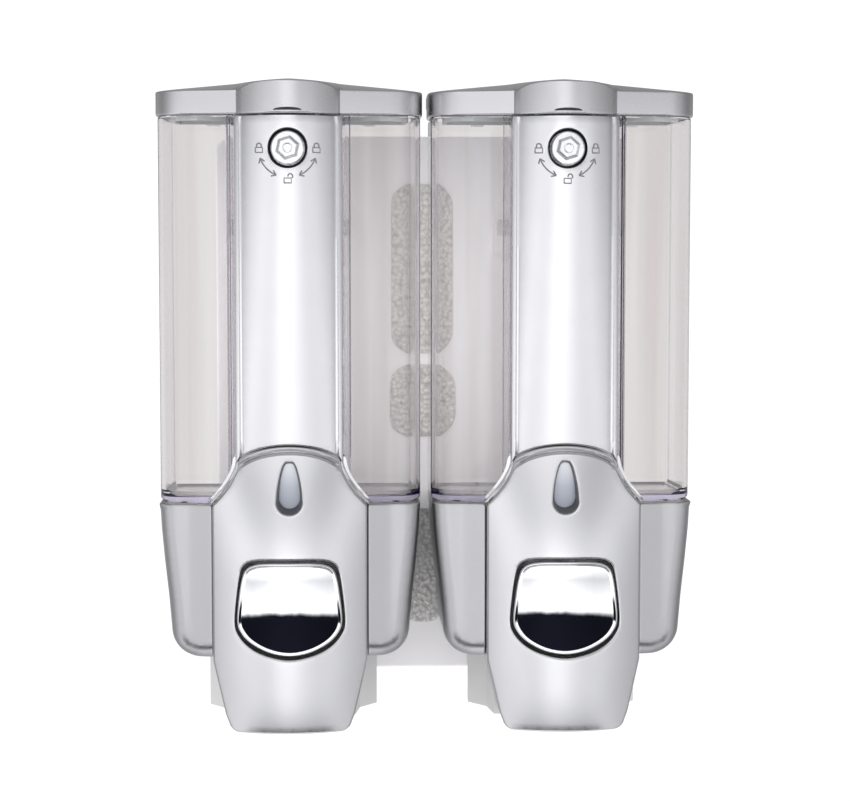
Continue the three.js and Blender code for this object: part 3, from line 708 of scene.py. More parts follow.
def make_lid(unit):
    outline = resample(plan_loop(LID_HALF, LID_REAR, 0, lid_middle), 1.4)
    inner = resample(plan_loop(LID_HALF, LID_REAR, LID_WALL, lid_middle), 1.4)
    flat, faces, loops = triangulate(outline, [], 2.0, (0.06, 0.16, 0.3, 0.5, 1.2, 2.4, 4))
    front_x, front_y = zip(*sorted((px, py) for px, py in outline if py < CORNER_Y))

    def top_z(px, py, d):
        """Roof height: arched front edge, a crest that falls to both sides, and rounded rims."""
        behind_front = py - float(np.interp(px, front_x, front_y))
        bulge = max(0.0, 1 - (abs(px) / CREASE_X) ** 4.5) * clamp(1 - behind_front / 25)
        edge = LID_EDGE + LID_BULGE * bulge
        crest = LID_CROWN - 0.1 - LID_FALL * (abs(px) / LID_HALF) ** 1.2
        rise = 1 - (1 - clamp(min(behind_front, LID_REAR - py) / 22)) ** 2
        return lerp(edge, max(edge, crest), rise) - rounding(d, 0.5)

    def skirt_low(px, py):
        """The skirt stops at the hinge behind, with a slot over each of the tank's lugs."""
        if py <= HINGE_Y - 3:
            return LID_BOTTOM
        return HINGE_Z + 3.2 if 25 < abs(px) < 32 else HINGE_Z

    part = Build()
    near = distance_to(flat, outline)
    top = part.add([(px, py, top_z(px, py, d)) for (px, py), d in zip(flat, near)], faces)
    rows = [[top[i] for i in loops[0]]]
    for inset, lift in ((0, 0.75), (0.12, 0.35), (0.4, 0.08), (0.8, 0)):
        line = inset_loop(outline, inset)
        rows.append(part.add([(px, py, skirt_low(px, py) + lift) for px, py in line], []))
    part.bridge_rows(rows)
    flat_in, faces_in, loops_in = triangulate(inner, [], 4.0)
    roof = part.add([(px, py, top_z(px, py, 3) - 2.2) for px, py in flat_in], faces_in)
    rim = part.add([(px, py, skirt_low(px, py)) for px, py in inner], [])
    part.bridge([roof[i] for i in loops_in[0]], rim)
    join_loops(part, rows[-1], rim)
    for sign in (-1, 1):
        a, b = on_side(sign, KNUCKLE_SPAN)
        part.merge(hinge_sleeve(KNUCKLE_R, a, b))
        part.merge(block(a + 0.2, b - 0.2, HINGE_Y + 1.8, LID_REAR - 1, HINGE_Z + 0.5, LID_EDGE - 0.5, 0.2))
        part.merge(block(*on_side(sign, (8.8, 11.2)), -50.8, -49.2, LID_LOW[2], LID_EDGE + 3, 0.25))
        part.merge(block(*on_side(sign, (5, 11.2)), -50.7, -49.3, LID_LOW[2] + 0.05, LID_LOW[2] + 1.7, 0.25))
    unit.piece("lid_shell", part, SILVER_LID_SHADED, "silver", "lid", body="lid_body")
    # Painted shade: a near-black block fills the finger notch under the lid's bulge, where only shade falls.
    low = LID_BOTTOM + 1.0
    rings = []
    for px in spread(-4.9, 4.9, 20):
        y = lid_bulge_y(px)
        high = low + 0.1 + 0.95 * math.sqrt(max(0.0, 1 - (px / 4.95) ** 2))
        rings.append([(px, y - 0.08, low), (px, y - 0.08, high), (px, y + 0.5, high), (px, y + 0.5, low)])
    unit.piece("lid_finger_notch", loft(rings), GAP_SHADE, "silver", body="lid_body")


def join_loops(part, loop_a, loop_b):
    """Closes the rim between two loops of different counts by walking both at once."""
    a, b = list(loop_a), list(loop_b)
    i = j = 0
    while i < len(a) or j < len(b):
        if j * len(a) >= i * len(b) and i < len(a):
            part.faces.append([a[i % len(a)], a[(i + 1) % len(a)], b[j % len(b)]])
            i += 1
        else:
            part.faces.append([a[i % len(a)], b[(j + 1) % len(b)], b[j % len(b)]])
            j += 1


# ---- Tank ----
def tank_middle(inset):
    """The window's face, then the step back under the spine cover."""
    step = ((19.9, CREASE_Y + 0.35), (19.4, CREASE_Y + 1.2), (19.4, -47.2), (19.1, -46.6), (18.4, -46.4))
    window = [(x, tank_front_y(x) + inset) for x in spread(34, 20.6 + inset, 5)]
    return window + [(x + inset, y + inset) for x, y in step] + [(0, -46.4 + inset)]


def make_tank(unit):
    bottom = HEAD_LOW

    def ring(inset, z):
        return [(px, py, z) for px, py in plan_loop(TANK_HALF, TANK_REAR, inset, tank_middle)]

    outer = [ring(1.6, bottom), ring(0.7, bottom + 0.25), ring(0.2, bottom + 0.8), ring(0, bottom + 1.6),
             ring(0, TANK_TOP - 0.3), ring(0.25, TANK_TOP + 0.1)]
    inner = [ring(1.55, TANK_TOP + 0.1), ring(1.8, TANK_TOP - 0.3), ring(1.8, bottom + 4.2),
             ring(2.2, bottom + 3.0), ring(3.2, bottom + 2.3)]
    part = loft(outer + inner)
    part.merge(lathe([(4.5, bottom - 7), (6.3, bottom - 7), (6.5, bottom - 6.7), (6.5, bottom + 0.2),
                      (4.5, bottom + 0.2), (4.5, bottom - 7)], 40, "z", OUTLET_LINE))
    body = unit.piece("tank_body", part, CLEAR, "clear", "tank", sharp=10)
    fittings = Build()
    for sign in (-1, 1):
        a, b = on_side(sign, LUG_SPAN)
        fittings.merge(hinge_sleeve(LUG_R, a, b))
        fittings.merge(block(a, b, HINGE_Y - 2.4, TANK_REAR - 0.1, TANK_TOP - 1.4, HINGE_Z - 1.4, 0.3))
    hook_low, hook_high = box_mm("left_cleat")[0][2] + 4, box_mm("left_cleat")[1][2] - 1
    fittings.merge(block(-21, 21, TANK_REAR + 0.1, -5.4, hook_high - 3, hook_high, 0.3))
    fittings.merge(block(-21, 21, -6.5, -5.4, hook_low, hook_high - 0.3, 0.25))
    extras = unit.piece("tank_fittings", fittings, MILKY, "clear", sharp=30)
    # Light passes the clear walls, so that what lies behind them is lit as through thin plastic.
    for clear in (body, extras):
        clear.visible_shadow = False
        clear.visible_diffuse = False


# ---- Spine cover and lock ----
def rail_half(z):
    """Half width of the spine cover: straight rails that flare round the arch."""
    if z > ARCH_FOOT:
        return RAIL_HALF
    return column_half(z) + lerp(0.9, 2.1, (ARCH_FOOT - z) / (ARCH_FOOT - HEAD_LOW))


def spine_outline():
    low = HEAD_LOW + 0.5
    outer = [(rail_half(z), z) for z in spread(low, ARCH_FOOT, 16)]
    outer += [(RAIL_HALF, TANK_TOP - 0.5), (RAIL_HALF - 0.5, TANK_TOP)]
    arch = [(column_half(z - 0.3) + 0.3, z) for z in spread(low, ARCH_FOOT, 16)]
    arch += [(column_half(HEAD_TOP - drop) + 0.2, HEAD_TOP - drop + 0.35) for drop in ARCH_DROPS]
    return resample(mirrored([(0, HEAD_TOP + 0.4)] + arch[::-1] + outer), 1.2)


def spine_front(x, z):
    """Front of the spine cover with a rounded bead along each side."""
    d = rail_half(z) - abs(x)
    bead = 0.9 * math.sqrt(max(0.0, 1 - ((d - 0.95) / 0.95) ** 2)) if d < 1.9 else 0.0
    groove = 0.35 * math.exp(-((d - 2.5) / 0.45) ** 2)
    base = spine_y(x, z) if z > ARCH_FOOT - 2 else RIDGE_Y + 0.2
    return base - bead + groove + rounding(TANK_TOP - z, 0.7)


def make_spine_cover(unit):
    outline = spine_outline()
    ring = arc(0, LOCK_Z, LOCK_RING_R, 0, FULL_TURN, 48)[:-1]
    heights = spread(HEAD_LOW + 1.5, ARCH_FOOT, 12) + spread(-14, 100, 60)
    beads = [[(sign * (rail_half(z) - d), z) for z in heights]
             for sign in (-1, 1) for d in (0.45, 0.95, 1.45, 1.9, 2.5, 3.1)]

    def back(px, pz):
        return -46.9 if pz > ARCH_FOOT + 1 and abs(px) < 19.2 else tank_front_y(px) - 0.35

    part = shell(outline, 1.7, spine_front, back, [ring], step=1.5, edge_r=0.35, hole_r=0.4,
                 bands=(0.1, 0.3), lines=beads)
    well = [(LOCK_RING_R, -59.8), (8.2, -59.6), (8.2, -55.6), (4.4, -55.6), (4.4, -57), (LOCK_RING_R, -57),
            (LOCK_RING_R, -59.8)]
    part.merge(lathe(well, 40, "y", (0, 0, LOCK_Z)))
    unit.piece("spine_front", part, SILVER, "silver", "spine_cover", sharp=38)
    # Painted shade: a near-black lining in the gap round the lock plug, where only shade falls.
    lining = [(5.95, -57.05), (LOCK_RING_R - 0.02, -57.05), (LOCK_RING_R - 0.02, -60.9), (6.72, -60.9),
              (6.7, -57.3), (5.95, -57.3), (5.95, -57.05)]
    unit.piece("lock_gap", lathe(lining, 48, "y", (0, 0, LOCK_Z)), GAP_SHADE, "rubber")


def make_lock(unit):
    centre = (0, 0, LOCK_Z)
    front = PLUG_LOW[1]
    face = front + 1.6
    part = lathe([(0, -51.1), (3.7, -51.1), (4, -51.4), (4, -57.4), (5.5, -57.4), (5.8, -57.7),
                  (5.85, face + 0.6), (5.5, face + 0.1), (5.2, face), (0, face)], 56, "y", centre)
    rest_turn = math.radians(18)

    def hexagon(r, y):
        angles = [rest_turn + k * math.pi / 3 for k in range(6)]
        return [(r * math.cos(angle), y, LOCK_Z + r * math.sin(angle)) for angle in angles]

    nut = ((4.45, face + 0.4), (4.4, face - 0.1), (3.5, front + 0.15), (3.2, front))
    part.merge(loft([hexagon(r, y) for r, y in nut]))
    part.merge(lathe([(0, front + 0.45), (0.8, front + 0.3), (1.3, front - 0.02), (1.6, front - 0.08),
                      (1.8, front + 0.02), (1.8, front + 0.6), (0, front + 0.6)], 32, "y", centre))
    unit.piece("lock_head", part, SATIN, "chrome", "lock_plug", body="lock", sharp=25)


def stroke(points, width, lift):
    """A raised line on the spine's front, along (x, z) points, a fraction of a millimetre thick."""
    rings = []
    for i, (px, pz) in enumerate(points):
        ax, az = points[max(0, i - 1)]
        bx, bz = points[min(len(points) - 1, i + 1)]
        direction = Vector((bx - ax, bz - az)).normalized()
        side = Vector((-direction.y, direction.x)) * width / 2
        ring = []
        for u, depth in ((-1, 0.12), (-0.7, -lift), (0.7, -lift), (1, 0.12)):
            qx, qz = px + side.x * u, pz + side.y * u
            ring.append((qx, spine_y(qx, qz) + depth, qz))
        rings.append(ring)
    return loft(rings)


def padlock_strokes(cx, cz, is_open):
    """Outline of a small padlock: a body and a shackle, which stands off to one side when open."""
    w, h = 1.25, 1.5
    body = [(cx - w, cz - h), (cx + w, cz - h), (cx + w, cz + 0.2), (cx - w, cz + 0.2), (cx - w, cz - h)]
    shift = 0.9 if is_open else 0.0
    shackle = [(cx + shift - 0.8, cz + (0.7 if is_open else 0.2))]
    shackle += [(cx + shift + px, cz + 0.9 + pz) for px, pz in arc(0, 0, 0.8, math.pi, 0, 8)]
    shackle += [(cx + shift + 0.8, cz + 0.2)]
    return [body, shackle]


def arrow_strokes(start, end):
    """An arc round the lock between two angles in degrees, with a head at each end."""
    line = [(px, pz + LOCK_Z) for px, pz in arc(0, 0, 10.2, math.radians(start), math.radians(end), 16)]
    out = [line]
    for tip, inner in ((line[0], line[1]), (line[-1], line[-2])):
        along = Vector((inner[0] - tip[0], inner[1] - tip[1])).normalized()
        for turn in (-0.6, 0.6):
            wing = Vector((along.x * math.cos(turn) - along.y * math.sin(turn),
                           along.x * math.sin(turn) + along.y * math.cos(turn))) * 1.9
            out.append([tip, (tip[0] + wing.x, tip[1] + wing.y)])
    return out


def make_lock_signs(unit):
    strokes = padlock_strokes(-10, LOCK_Z, False) + padlock_strokes(10, LOCK_Z, False)
    strokes += padlock_strokes(0, LOCK_Z - 10.6, True)
    strokes += arrow_strokes(200, 247) + arrow_strokes(293, 340)
    part = Build()
    for line in strokes:
        part.merge(stroke(line, 0.62, 0.08))
    unit.piece("lock_signs", part, SIGN, "silver")


# ---- Pump cover ----
def column_outline():
    low = COVER_BOTTOM
    r = 4.0
    foot = [(0, low), (BOTTOM_HALF - r, low)]
    foot += arc(BOTTOM_HALF - r + 0.4, low + r, r, -math.pi / 2, -0.2, 6)[1:]
    side = [(column_half(z), z) for z in spread(-110, SHOULDER, 8)]
    side += [(COLUMN_HALF, -60), (COLUMN_HALF, HEAD_LOW)]
    flare = [(column_half(z), z) for z in spread(HEAD_LOW + 0.6, ARCH_FOOT, 16)]
    arch = [(column_half(HEAD_TOP - drop), HEAD_TOP - drop) for drop in ARCH_DROPS]
    return resample(mirrored(foot + side + flare + arch + [(0, HEAD_TOP)]), 1.2)


def arch_z(x):
    return HEAD_TOP - ARCH_HEIGHT * (1 - math.sqrt(max(0.0, 1 - (x / ARCH_HALF) ** 2)))


def arch_slope(x):
    reach = clamp(abs(x) / ARCH_HALF, 0, 0.98)
    return ARCH_HEIGHT / ARCH_HALF * reach / math.sqrt(1 - reach ** 2)


def arch_distance(x, z):
    """Distance below the arch line at the cover's head, square to the line."""
    return (arch_z(x) - z) / math.hypot(1, arch_slope(x))


def arch_offset(x, d):
    """The point at a distance below the arch line, square to it."""
    slope = arch_slope(x)
    turn = math.hypot(1, slope)
    return x - math.copysign(1, x) * d * slope / turn, arch_z(x) - d / turn


def bead(d, centre, width, height):
    """Height of a half round bead at a distance from a line."""
    t = (d - centre) / width
    return height * math.sqrt(1 - t * t) if abs(t) < 1 else 0.0


def column_front(x, z):
    """The cover's face with the two rolled lips and the step that follow its arched head."""
    y = column_y(x, z)
    d = arch_distance(x, z)
    if d < 4 and z > ARCH_FOOT - 9:
        fade = clamp((z - ARCH_FOOT + 9) / 3)
        step = 0.8 * clamp((3.3 - d) / 0.5)
        lips = bead(d, 0.75, 0.62, 0.75) + bead(d, 2.1, 0.6, 0.7)
        y += (step - lips) * fade
    return y


def button_outline(inset):
    w = -BUTTON_LOW[0] + UNIT_X["left"] + 0.9 - inset
    top = BUTTON_HIGH[2] + 0.9 - inset
    point = BUTTON_LOW[2] - 0.9 + inset
    right = [(0, point), (5.5, point + 0.8), (w - 8.5, point + 2.6), (w - 4, point + 5.5),
             (w - 1.2, point + 9), (w, point + 12.5), (w - 1.1, -66), (w - 2.2, top - 5),
             (w - 3.2, top - 2.4), (w - 5.6, top - 0.7), (w - 10, top)]
    return smooth_loop(mirrored(right + [(0, top)]), 3)


def smooth_loop(loop, passes):
    """Rounds a closed loop by cutting its corners."""
    for _ in range(passes):
        out = []
        for (ax, az), (bx, bz) in zip(loop, loop[1:] + loop[:1]):
            out += [(lerp(ax, bx, 0.25), lerp(az, bz, 0.25)), (lerp(ax, bx, 0.75), lerp(az, bz, 0.75))]
        loop = out
    return loop


def drop_outline(inset, lift=0.0):
    """Tear drop: a round foot and a narrow round top. A lift raises the foot only."""
    low, high = DROP_LOW[2] - 0.4 + inset + lift, DROP_HIGH[2] + 0.4 - inset
    r = 4.5 - inset
    right = arc(0, low + r, r, -math.pi / 2, 0, 6)
    right += [(r * 0.92, lerp(low + r, high, 0.35)), (r * 0.7, lerp(low + r, high, 0.7))]
    right.append((r * 0.42, high - 0.4))
    return smooth_loop(mirrored(right + [(0, high)]), 2)


def drop_floor_y(z):
    """Tilted floor of the tear drop's recess: shallow at the top, deep at the foot."""
    return lerp(-55.6, -56.8, (z - DROP_LOW[2]) / (DROP_HIGH[2] - DROP_LOW[2]))


def make_pump_cover(unit):
    outline = column_outline()
    button_hole = resample(button_outline(0), 1.0)
    drop_hole = resample(drop_outline(0), 0.8)

    def back(px, pz):
        return COVER_REAR if pz < HEAD_LOW - 1.5 else -52.7

    lines = []
    for d in (0.14, 0.3, 0.55, 0.75, 0.95, 1.2, 1.36, 1.5, 1.75, 2.1, 2.45, 2.7, 2.85, 3.3):
        run = [arch_offset(px, d) for px in spread(-20.6, 20.6, 36)]
        lines.append([p for p in run if abs(p[0]) < column_half(p[1]) - 0.4])
    part = shell(outline, 2.0, column_front, back, [button_hole, drop_hole], step=1.5, edge_r=0.9, hole_r=0.8,
                 bands=(0.07, 0.22, 0.45, 0.8), lines=lines)
    for sign in (-1, 1):
        part.merge(block(*on_side(sign, (16.5, 25.8)), -31.5, -29.5, -57, -48, 0.3))
    unit.piece("pump_front", part, SILVER_COVER_SHADED, "silver", "pump_cover", sharp=38)


def make_drop_well(unit):
    """Sloped wall of the tear-drop recess, from the face down to its floor, made near black as painted shade.
    """
    part = Build()
    lip, floor_edge = drop_outline(0.02), drop_outline(0.5, 1.1)
    start = part.add([(px, column_front(px, pz) + 0.75, pz) for px, pz in lip], [])
    end = part.add([(px, drop_floor_y(pz) + 0.1, pz) for px, pz in floor_edge], [])
    rear = part.add([(px, drop_floor_y(pz) + 0.6, pz) for px, pz in lip], [])
    part.bridge_rows([start, end, rear, start])
    unit.piece("drop_well", part, RECESS_SHADE, "silver")


def make_drop_insert(unit):
    def dish(px, pz):
        return drop_floor_y(pz) + 0.25 * (px / 3.6) ** 2

    outline = resample(drop_outline(0.45, 1.0), 0.6)
    part = shell(outline, 0.5, dish, lambda px, pz: -53.3, step=0.7, edge_r=0.3, solid=True)
    unit.piece("drop_insert", part, INSERT_PAINTED_REFLECTION, "level_insert", "drop_window")


# ---- Base shell ----
def wing_outline():
    """Right wing: straight top, leaning side, big rounded outer corner."""
    top, bottom = SHELL_HIGH[2], SHELL_LOW[2]
    w, r = SHELL_HALF, 10.5
    inner = COLUMN_HALF + 0.25
    corner = arc(w - 3.9 - r, bottom + r, r, -math.pi / 2, -0.1, 12)
    side = [(w - 2.9, -69), (w - 1.5, -56), (w - 0.5, -45), (w, top)]
    return resample([(inner, bottom)] + corner + side + [(inner, top)], 1.3)


def make_base_shell(unit):
    part = Build()
    outline = wing_outline()
    top, rear = SHELL_HIGH[2], SHELL_HIGH[1]
    inner = COLUMN_HALF + 0.25
    outer_edge = [(px, pz) for px, pz in outline
                  if pz < top - 0.01 and (px > inner + 0.4 or pz < SHELL_LOW[2] + 0.5)]

    def front(px, pz):
        return tank_front_y(min(px, 36)) + 0.6 + rounding(min(px - inner, top - pz), 0.7)

    for sign in (-1, 1):
        wing = shell(outline, 2.0, front, lambda px, pz: rear, step=1.5, edge_r=5.5, hole_r=0.1,
                     round_line=outer_edge, bands=(0.1, 0.3, 0.6, 1.0, 1.6, 2.4, 3.4, 4.5, 5.5))
        wing.verts = [(sign * px, py, pz) for px, py, pz in wing.verts]
        part.merge(wing)
    part.merge(block(-inner - 0.8, inner + 0.8, -29.2, rear, top - 2, top, 0.3))
    unit.piece("base_wings", part, SILVER_WING_SHADED, "silver", "base_shell", sharp=38)


# ---- Button and pump ----
def make_button(unit):
    front = BUTTON_LOW[1]
    outline = resample(button_outline(0.9), 0.7)
    crown_z = BUTTON_HIGH[2] - 6

    def face(px, pz):
        return front + 0.05 + 3.0 * (px / 19) ** 2 + 1.5 * ((pz - crown_z) / 18) ** 2

    def rimmed(px, pz):
        """The face inside a bright rolled rim with a fine groove beside it."""
        d = float(distance_to([(px, pz)], outline)[0])
        return face(px, pz) + 0.15 - bead(d, 0.5, 0.5, 0.3) + bead(d, 1.25, 0.25, 0.3)

    part = shell(outline, 1.4, rimmed, lambda px, pz: -57.6, step=1.2, edge_r=0.5, hole_r=0.2,
                 bands=(0.04, 0.14, 0.3, 0.5, 0.7, 0.92, 1.04, 1.12, 1.25, 1.38, 1.5, 2.0))
    unit.piece("button_cap", part, CHROME, "chrome", "button", body="push_button", sharp=30)


def squeeze(piece, unit, fixed_y, moving_y):
    """Gives a soft piece a mesh of its own; it is not shortened as the button is pressed."""
    joint = JOINTS[unit.node("button_press")]
    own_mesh(piece)


def make_pump(unit):
    low, high = unit.box("bellows")
    z = (low[2] + high[2]) / 2
    centre = (0, 0, z)
    seat, nose = high[1], low[1]
    bellows = [(0, nose), (5.4, nose), (6.6, nose + 0.5), (8.4, nose + 2), (10.0, nose + 4.2),
               (10.9, nose + 6.4), (12, nose + 9), (13, seat - 1.8), (14.2, seat - 1.6), (14.2, seat),
               (10.6, seat), (9, nose + 6.3), (6.8, nose + 2.8), (4.8, nose + 1.4), (0, nose + 1.4)]
    dome = unit.piece("bellows_dome", lathe(bellows, 48, "y", centre), RUBBER, "rubber", "bellows")
    squeeze(dome, unit, seat, nose)
    ring_low, ring_high = (corner[1] for corner in unit.box("bellows_ring"))
    ring = [(12.6, ring_low + 0.2), (12.9, ring_low), (15.7, ring_low), (16, ring_low + 0.3), (16, ring_high),
            (14.6, ring_high), (14.6, ring_low + 1.6), (12.6, ring_low + 1.6), (12.6, ring_low + 0.2)]
    unit.piece("bellows_clamp", lathe(ring, 48, "y", centre), WHITE, "white_plastic", "bellows_ring")
    plunger = [(0, -61.8), (8.7, -61.8), (9, -61.5), (9, -60.5), (8.7, -60.2), (4.4, -60.2), (4, -59.8),
               (4, -45.8), (4.4, -45.4), (6.2, -45.4), (6.5, -45.1), (6.5, -43.7), (6.2, -43.4), (0, -43.4)]
    unit.piece("plunger_stem", lathe(plunger, 40, "y", centre), WHITE, "white_plastic", "plunger",
               body="push_button")
    spring_low, spring_high = unit.box("button_spring")
    spring = coil(7.6, 0.55, spring_low[1] + 0.6, spring_high[1] - 0.6, 4.5, z)
    wire = unit.piece("return_spring", spring, STEEL, "steel", "button_spring")
    squeeze(wire, unit, spring_high[1], spring_low[1])
    end, start = (corner[2] for corner in unit.box("outlet_tube"))
    nozzle = [(2, start), (3.8, start), (4, start - 0.2), (4, start - 10.4), (3.3, start - 11.4),
              (3.1, end + 0.3), (2.9, end), (2, end), (2, start)]
    unit.piece("nozzle", lathe(nozzle, 40, "z", OUTLET_LINE), RUBBER, "grey_plastic", "outlet_tube")


def make_screw(node, x, z, head_y, head_r, height, shank_r, tip):
    """Pan head screw along y with a cross recess."""
    name = f"{node}_fine"
    part = lathe([(0, head_y + 0.25), (head_r * 0.55, head_y + 0.05), (head_r * 0.85, head_y + 0.3),
                  (head_r, head_y + height * 0.55), (head_r, head_y + height), (shank_r, head_y + height),
                  (shank_r, tip - 0.8), (shank_r * 0.4, tip), (0, tip)], 32, "y", (0, 0, z))
    make_piece(name, part, STEEL, ROOT, x, [node])
    # Painted shade: a near-black cross in the head's recess, where only shade falls.
    arm = head_r * 0.55
    cross = block(-arm, arm, head_y - 0.02, head_y + 0.5, z - arm * 0.16, z + arm * 0.16, 0.05)
    cross.merge(block(-arm * 0.16, arm * 0.16, head_y - 0.02, head_y + 0.5, z - arm, z + arm, 0.05))
    make_piece(f"{name}_recess", cross, GAP_SHADE, ROOT, x, ())


# ---- Wall plate ----
def rounded_rect(half, low, high, r, steps=8):
    loop = []
    corners = ((half - r, high - r), (r - half, high - r), (r - half, low + r), (half - r, low + r))
    for quarter, (cx, cz) in enumerate(corners):
        loop += arc(cx, cz, r, math.radians(90 * quarter), math.radians(90 * quarter + 90), steps)
    return loop


def make_wall_plate():
    half = PLATE_HIGH[0]
    screws = [box_mm(f"wall_screw_{i}") for i in range(1, 5)]
    centres = [((lo[0] + hi[0]) / 2, (lo[2] + hi[2]) / 2) for lo, hi in screws]
    holes = [arc(x, z, 2.5, 0, FULL_TURN, 24)[:-1] for x, z in centres]
    outline = resample(rounded_rect(half, PLATE_LOW[2], PLATE_HIGH[2], 6), 4)
    part = shell(outline, 2, lambda x, z: PLATE_LOW[1], lambda x, z: 0.0, holes, step=8, edge_r=1.0,
                 hole_r=0.3, solid=True)
    make_piece("wall_plate_moulding", part, PLATE, ROOT, 0, ["wall_plate"])
    for i, ((x, z), (lo, hi)) in enumerate(zip(centres, screws), 1):
        make_screw(f"wall_screw_{i}", x, z, head_y=lo[1], head_r=4, height=2.2, shank_r=2, tip=hi[1])


def make_panels():
    """Grained inserts on the plate, with a real coarse relief."""
    rng = np.random.default_rng(7)
    for name in ("panel_upper", "panel_middle", "panel_lower"):
        low, high = box_mm(name)
        half = high[0]
        outline = resample(rounded_rect(half, low[2], high[2], half * 0.8), 1.2)
        bumps = rng.random((64, 128))

        def face(x, z, bumps=bumps, low=low):
            i, j = int((x + 40) / 1.1) % 64, int((z + 200) / 1.1) % 128
            return low[1] + 0.32 * bumps[i, j]

        part = shell(outline, 0.4, face, lambda x, z, high=high: high[1], step=1.05, edge_r=0.3, solid=True)
        make_piece(f"{name}_insert", part, SPARKLE, ROOT, 0, [name], sharp=12)


# ---- CAD nodes that keep their shape ----
def dress_cad_node(node, material, bevel):
    obj = frame["nodes"][node]
    obj.data.materials.clear()
    obj.data.materials.append(material)
    modifier = obj.modifiers.new("edges", "BEVEL")
    modifier.width = bevel * MM
    modifier.segments = 2
    modifier.limit_method = "ANGLE"
    modifier.angle_limit = math.radians(40)


CAD_FINISH = {
    "lid_hinge_pin": (STEEL, 0.2), "lid_gasket": (RUBBER, 0.3), "lock_cam": (STEEL, 0.15),
    "lock_screw": (STEEL, 0.1), "pump_housing": (GREY, 0.5), "tank_seal": (RUBBER, 0.2),
    "inlet_ball": (STEEL, 0.01), "cleat": (PLATE, 0.3),
}


# ---- Scene ----
def make_camera():
    data = bpy.data.cameras.new("camera")
    data.sensor_width = 36
    data.lens = 89.4
    data.clip_start = 0.05
    camera = add_object("camera", data)
    camera.location = (-0.029, -0.798, 0.056)
    camera.rotation_euler = (math.radians(90 - 4.18), 0, math.radians(-2.17))
    bpy.context.scene.camera = camera


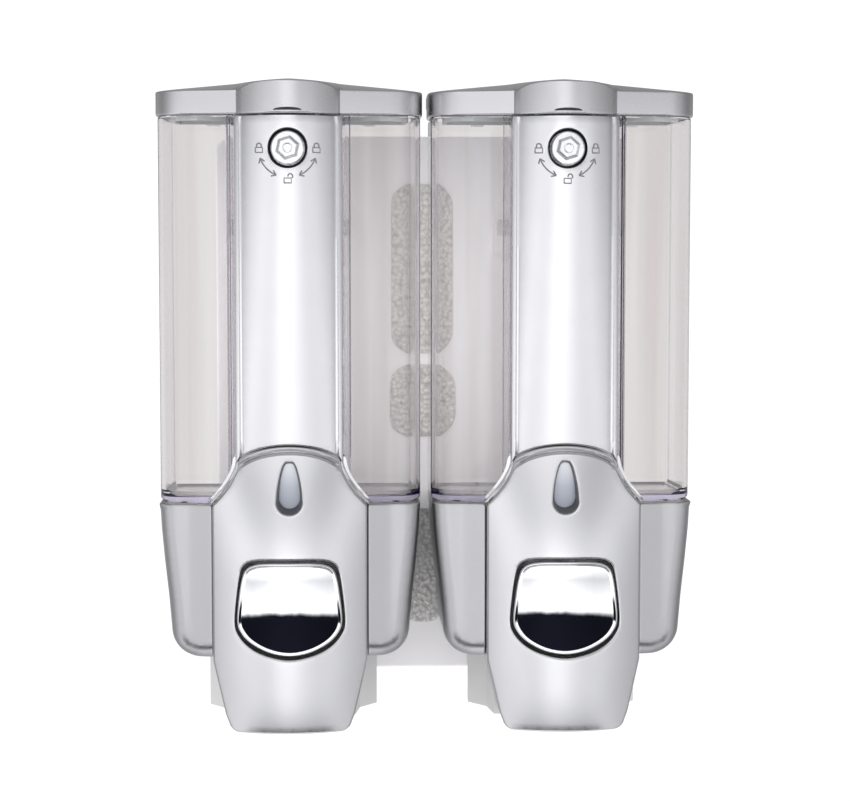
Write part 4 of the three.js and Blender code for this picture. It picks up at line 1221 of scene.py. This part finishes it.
def make_world():
    """White to the eye and for soft light; reflections see a studio that is darker to the sides and below."""
    world = bpy.data.worlds.new("studio")
    bpy.context.scene.world = world
    world.use_nodes = True
    tree = world.node_tree
    tree.nodes.clear()
    link = tree.links.new

    def node(kind, **values):
        made = tree.nodes.new(kind)
        for key, value in values.items():
            made.inputs[key].default_value = value
        return made

    def ramp(source, stops):
        """Grey levels with a trace of blue, stronger where the room is nearly black."""
        cool = [(place, (level, level, level * (1.01 if level > 0.05 else 1.8))) for place, level in stops]
        return colour_ramp(tree, source, cool)

    def direction(source):
        """Maps one axis of the view direction, -1..1, onto 0..1."""
        made = node("ShaderNodeMapRange", **{"From Min": -1.0, "From Max": 1.0})
        link(source, made.inputs["Value"])
        return made.outputs["Result"]

    coords = node("ShaderNodeTexCoord")
    split = node("ShaderNodeSeparateXYZ")
    link(coords.outputs["Generated"], split.inputs[0])
    wave = node("ShaderNodeTexNoise", Scale=3.5, Detail=4.0, Roughness=0.55)
    link(coords.outputs["Generated"], wave.inputs["Vector"])
    ripple = node("ShaderNodeMapRange", **{"To Min": -0.035, "To Max": 0.035})
    link(wave.outputs["Fac"], ripple.inputs["Value"])
    bent = node("ShaderNodeMath")
    link(split.outputs["Z"], bent.inputs[0])
    link(ripple.outputs["Result"], bent.inputs[1])
    height = direction(bent.outputs[0])
    # Upwards: a bright table, a dark room and a bright studio above it. To the sides the room isn't dark.
    up = ramp(height, [(0.0, 1.2), (0.08, 1.2), (0.11, 0.008), (0.303, 0.006), (0.318, 1.3), (0.36, 1.1),
                       (0.42, 0.72), (0.46, 1.3), (0.49, 1.25), (0.53, 0.55), (0.68, 0.48), (1.0, 0.35)])
    up_sides = ramp(height, [(0.0, 0.9), (0.3, 0.85), (0.42, 0.8), (0.46, 1.3), (0.49, 1.25), (0.53, 0.55),
                             (1.0, 0.35)])
    wide = direction(split.outputs["X"])
    sides = ramp(wide, [(0.0, 1.0), (0.17, 1.0), (0.21, 0.0), (0.79, 0.0), (0.83, 1.0), (1.0, 1.0)])
    across = ramp(wide, [(0.0, 0.44), (0.05, 0.62), (0.15, 0.84), (0.27, 0.72), (0.34, 0.80), (0.41, 1.0),
                         (0.51, 1.0), (0.61, 0.82), (0.71, 0.68), (0.84, 0.70), (0.95, 0.48), (1.0, 0.38)])
    deep = direction(split.outputs["Y"])
    behind = ramp(deep, [(0.0, 1.0), (0.38, 1.0), (0.52, 0.72), (0.64, 0.5), (1.0, 0.42)])

    def mix(a, b, kind, share=None):
        made = node("ShaderNodeMix")
        made.data_type = "RGBA"
        made.blend_type = kind
        made.inputs["Factor"].default_value = 1.0
        if share:
            link(share, made.inputs["Factor"])
        colour_a, colour_b = [socket for socket in made.inputs if socket.type == "RGBA"]
        link(a, colour_a)
        link(b, colour_b)
        return next(socket for socket in made.outputs if socket.type == "RGBA")

    studio = node("ShaderNodeBackground", Strength=1.62)
    ahead_only = ramp(deep, [(0.0, 0.0), (0.25, 0.0), (0.31, 1.0), (1.0, 1.0)])
    room = mix(mix(up, up_sides, "MIX", sides), up_sides, "MIX", ahead_only)
    link(mix(mix(room, across, "MULTIPLY"), behind, "MULTIPLY"), studio.inputs["Color"])
    plain = node("ShaderNodeBackground", Color=(1, 1, 1, 1), Strength=1.08)
    through = node("ShaderNodeBackground", Color=(1, 0.985, 0.975, 1), Strength=0.8)
    path = node("ShaderNodeLightPath")

    def choose(flag, otherwise, then):
        made = node("ShaderNodeMixShader")
        link(path.outputs[flag], made.inputs["Fac"])
        link(otherwise.outputs[0], made.inputs[1])
        link(then.outputs[0], made.inputs[2])
        return made

    # A ray that leaves through clear plastic counts as glossy too, so that choice comes last.
    seen = choose("Is Transmission Ray", choose("Is Glossy Ray", plain, studio), through)
    out = node("ShaderNodeOutputWorld")
    link(seen.outputs[0], out.inputs["Surface"])


def make_floor():
    """A plain pale floor well below the dispenser."""
    size, front, z = 6.0, -1.2, cad_box[0][2] - 0.25
    corners = [(-size, front, z), (size, front, z), (size, size, z), (-size, size, z)]
    mesh = bpy.data.meshes.new("floor")
    mesh.from_pydata(corners, [], [(0, 1, 2, 3)])
    floor = add_object("floor", mesh)
    n = Nodes("floor_paint").set(Roughness=0.8)
    n.tone(n.noise(3, 2.0), (0.3, (0.90, 0.90, 0.90)), (0.7, (0.93, 0.93, 0.93)))
    n.set(Emission_Color=(1, 1, 1, 1), Emission_Strength=0.12)
    mesh.materials.append(n.material)
    floor.visible_glossy = False
    floor.visible_transmission = False


def make_light(name, place, target, size, energy):
    data = bpy.data.lights.new(name, "AREA")
    data.shape = "RECTANGLE"
    data.size, data.size_y = size
    data.energy = energy
    light = add_object(name, data)
    light.location = place
    light.rotation_euler = (Vector(target) - Vector(place)).to_track_quat("-Z", "Y").to_euler()


bpy.context.scene.view_settings.view_transform = "Standard"
make_camera()
make_world()
make_floor()
make_light("key", place=(-0.3, -1.6, 0.9), target=(0, -0.03, 0), size=(1.6, 1.2), energy=4)

BUILDERS = (make_lid, make_tank, make_spine_cover, make_lock, make_lock_signs, make_pump_cover,
            make_drop_well, make_drop_insert, make_base_shell, make_button, make_pump)
for dispenser in (Unit(side, x) for side, x in UNIT_X.items()):
    for build in BUILDERS:
        build(dispenser)
    for number, sign in ((1, -1), (2, 1)):
        make_screw(dispenser.node(f"cover_screw_{number}"), dispenser.x + sign * 19.5, -52.5,
                   head_y=-33.4, head_r=2.6, height=1.6, shank_r=1.1, tip=-21.8)
    for part_name, (material, width) in CAD_FINISH.items():
        dress_cad_node(dispenser.node(part_name), material, width)
make_wall_plate()
make_panels()
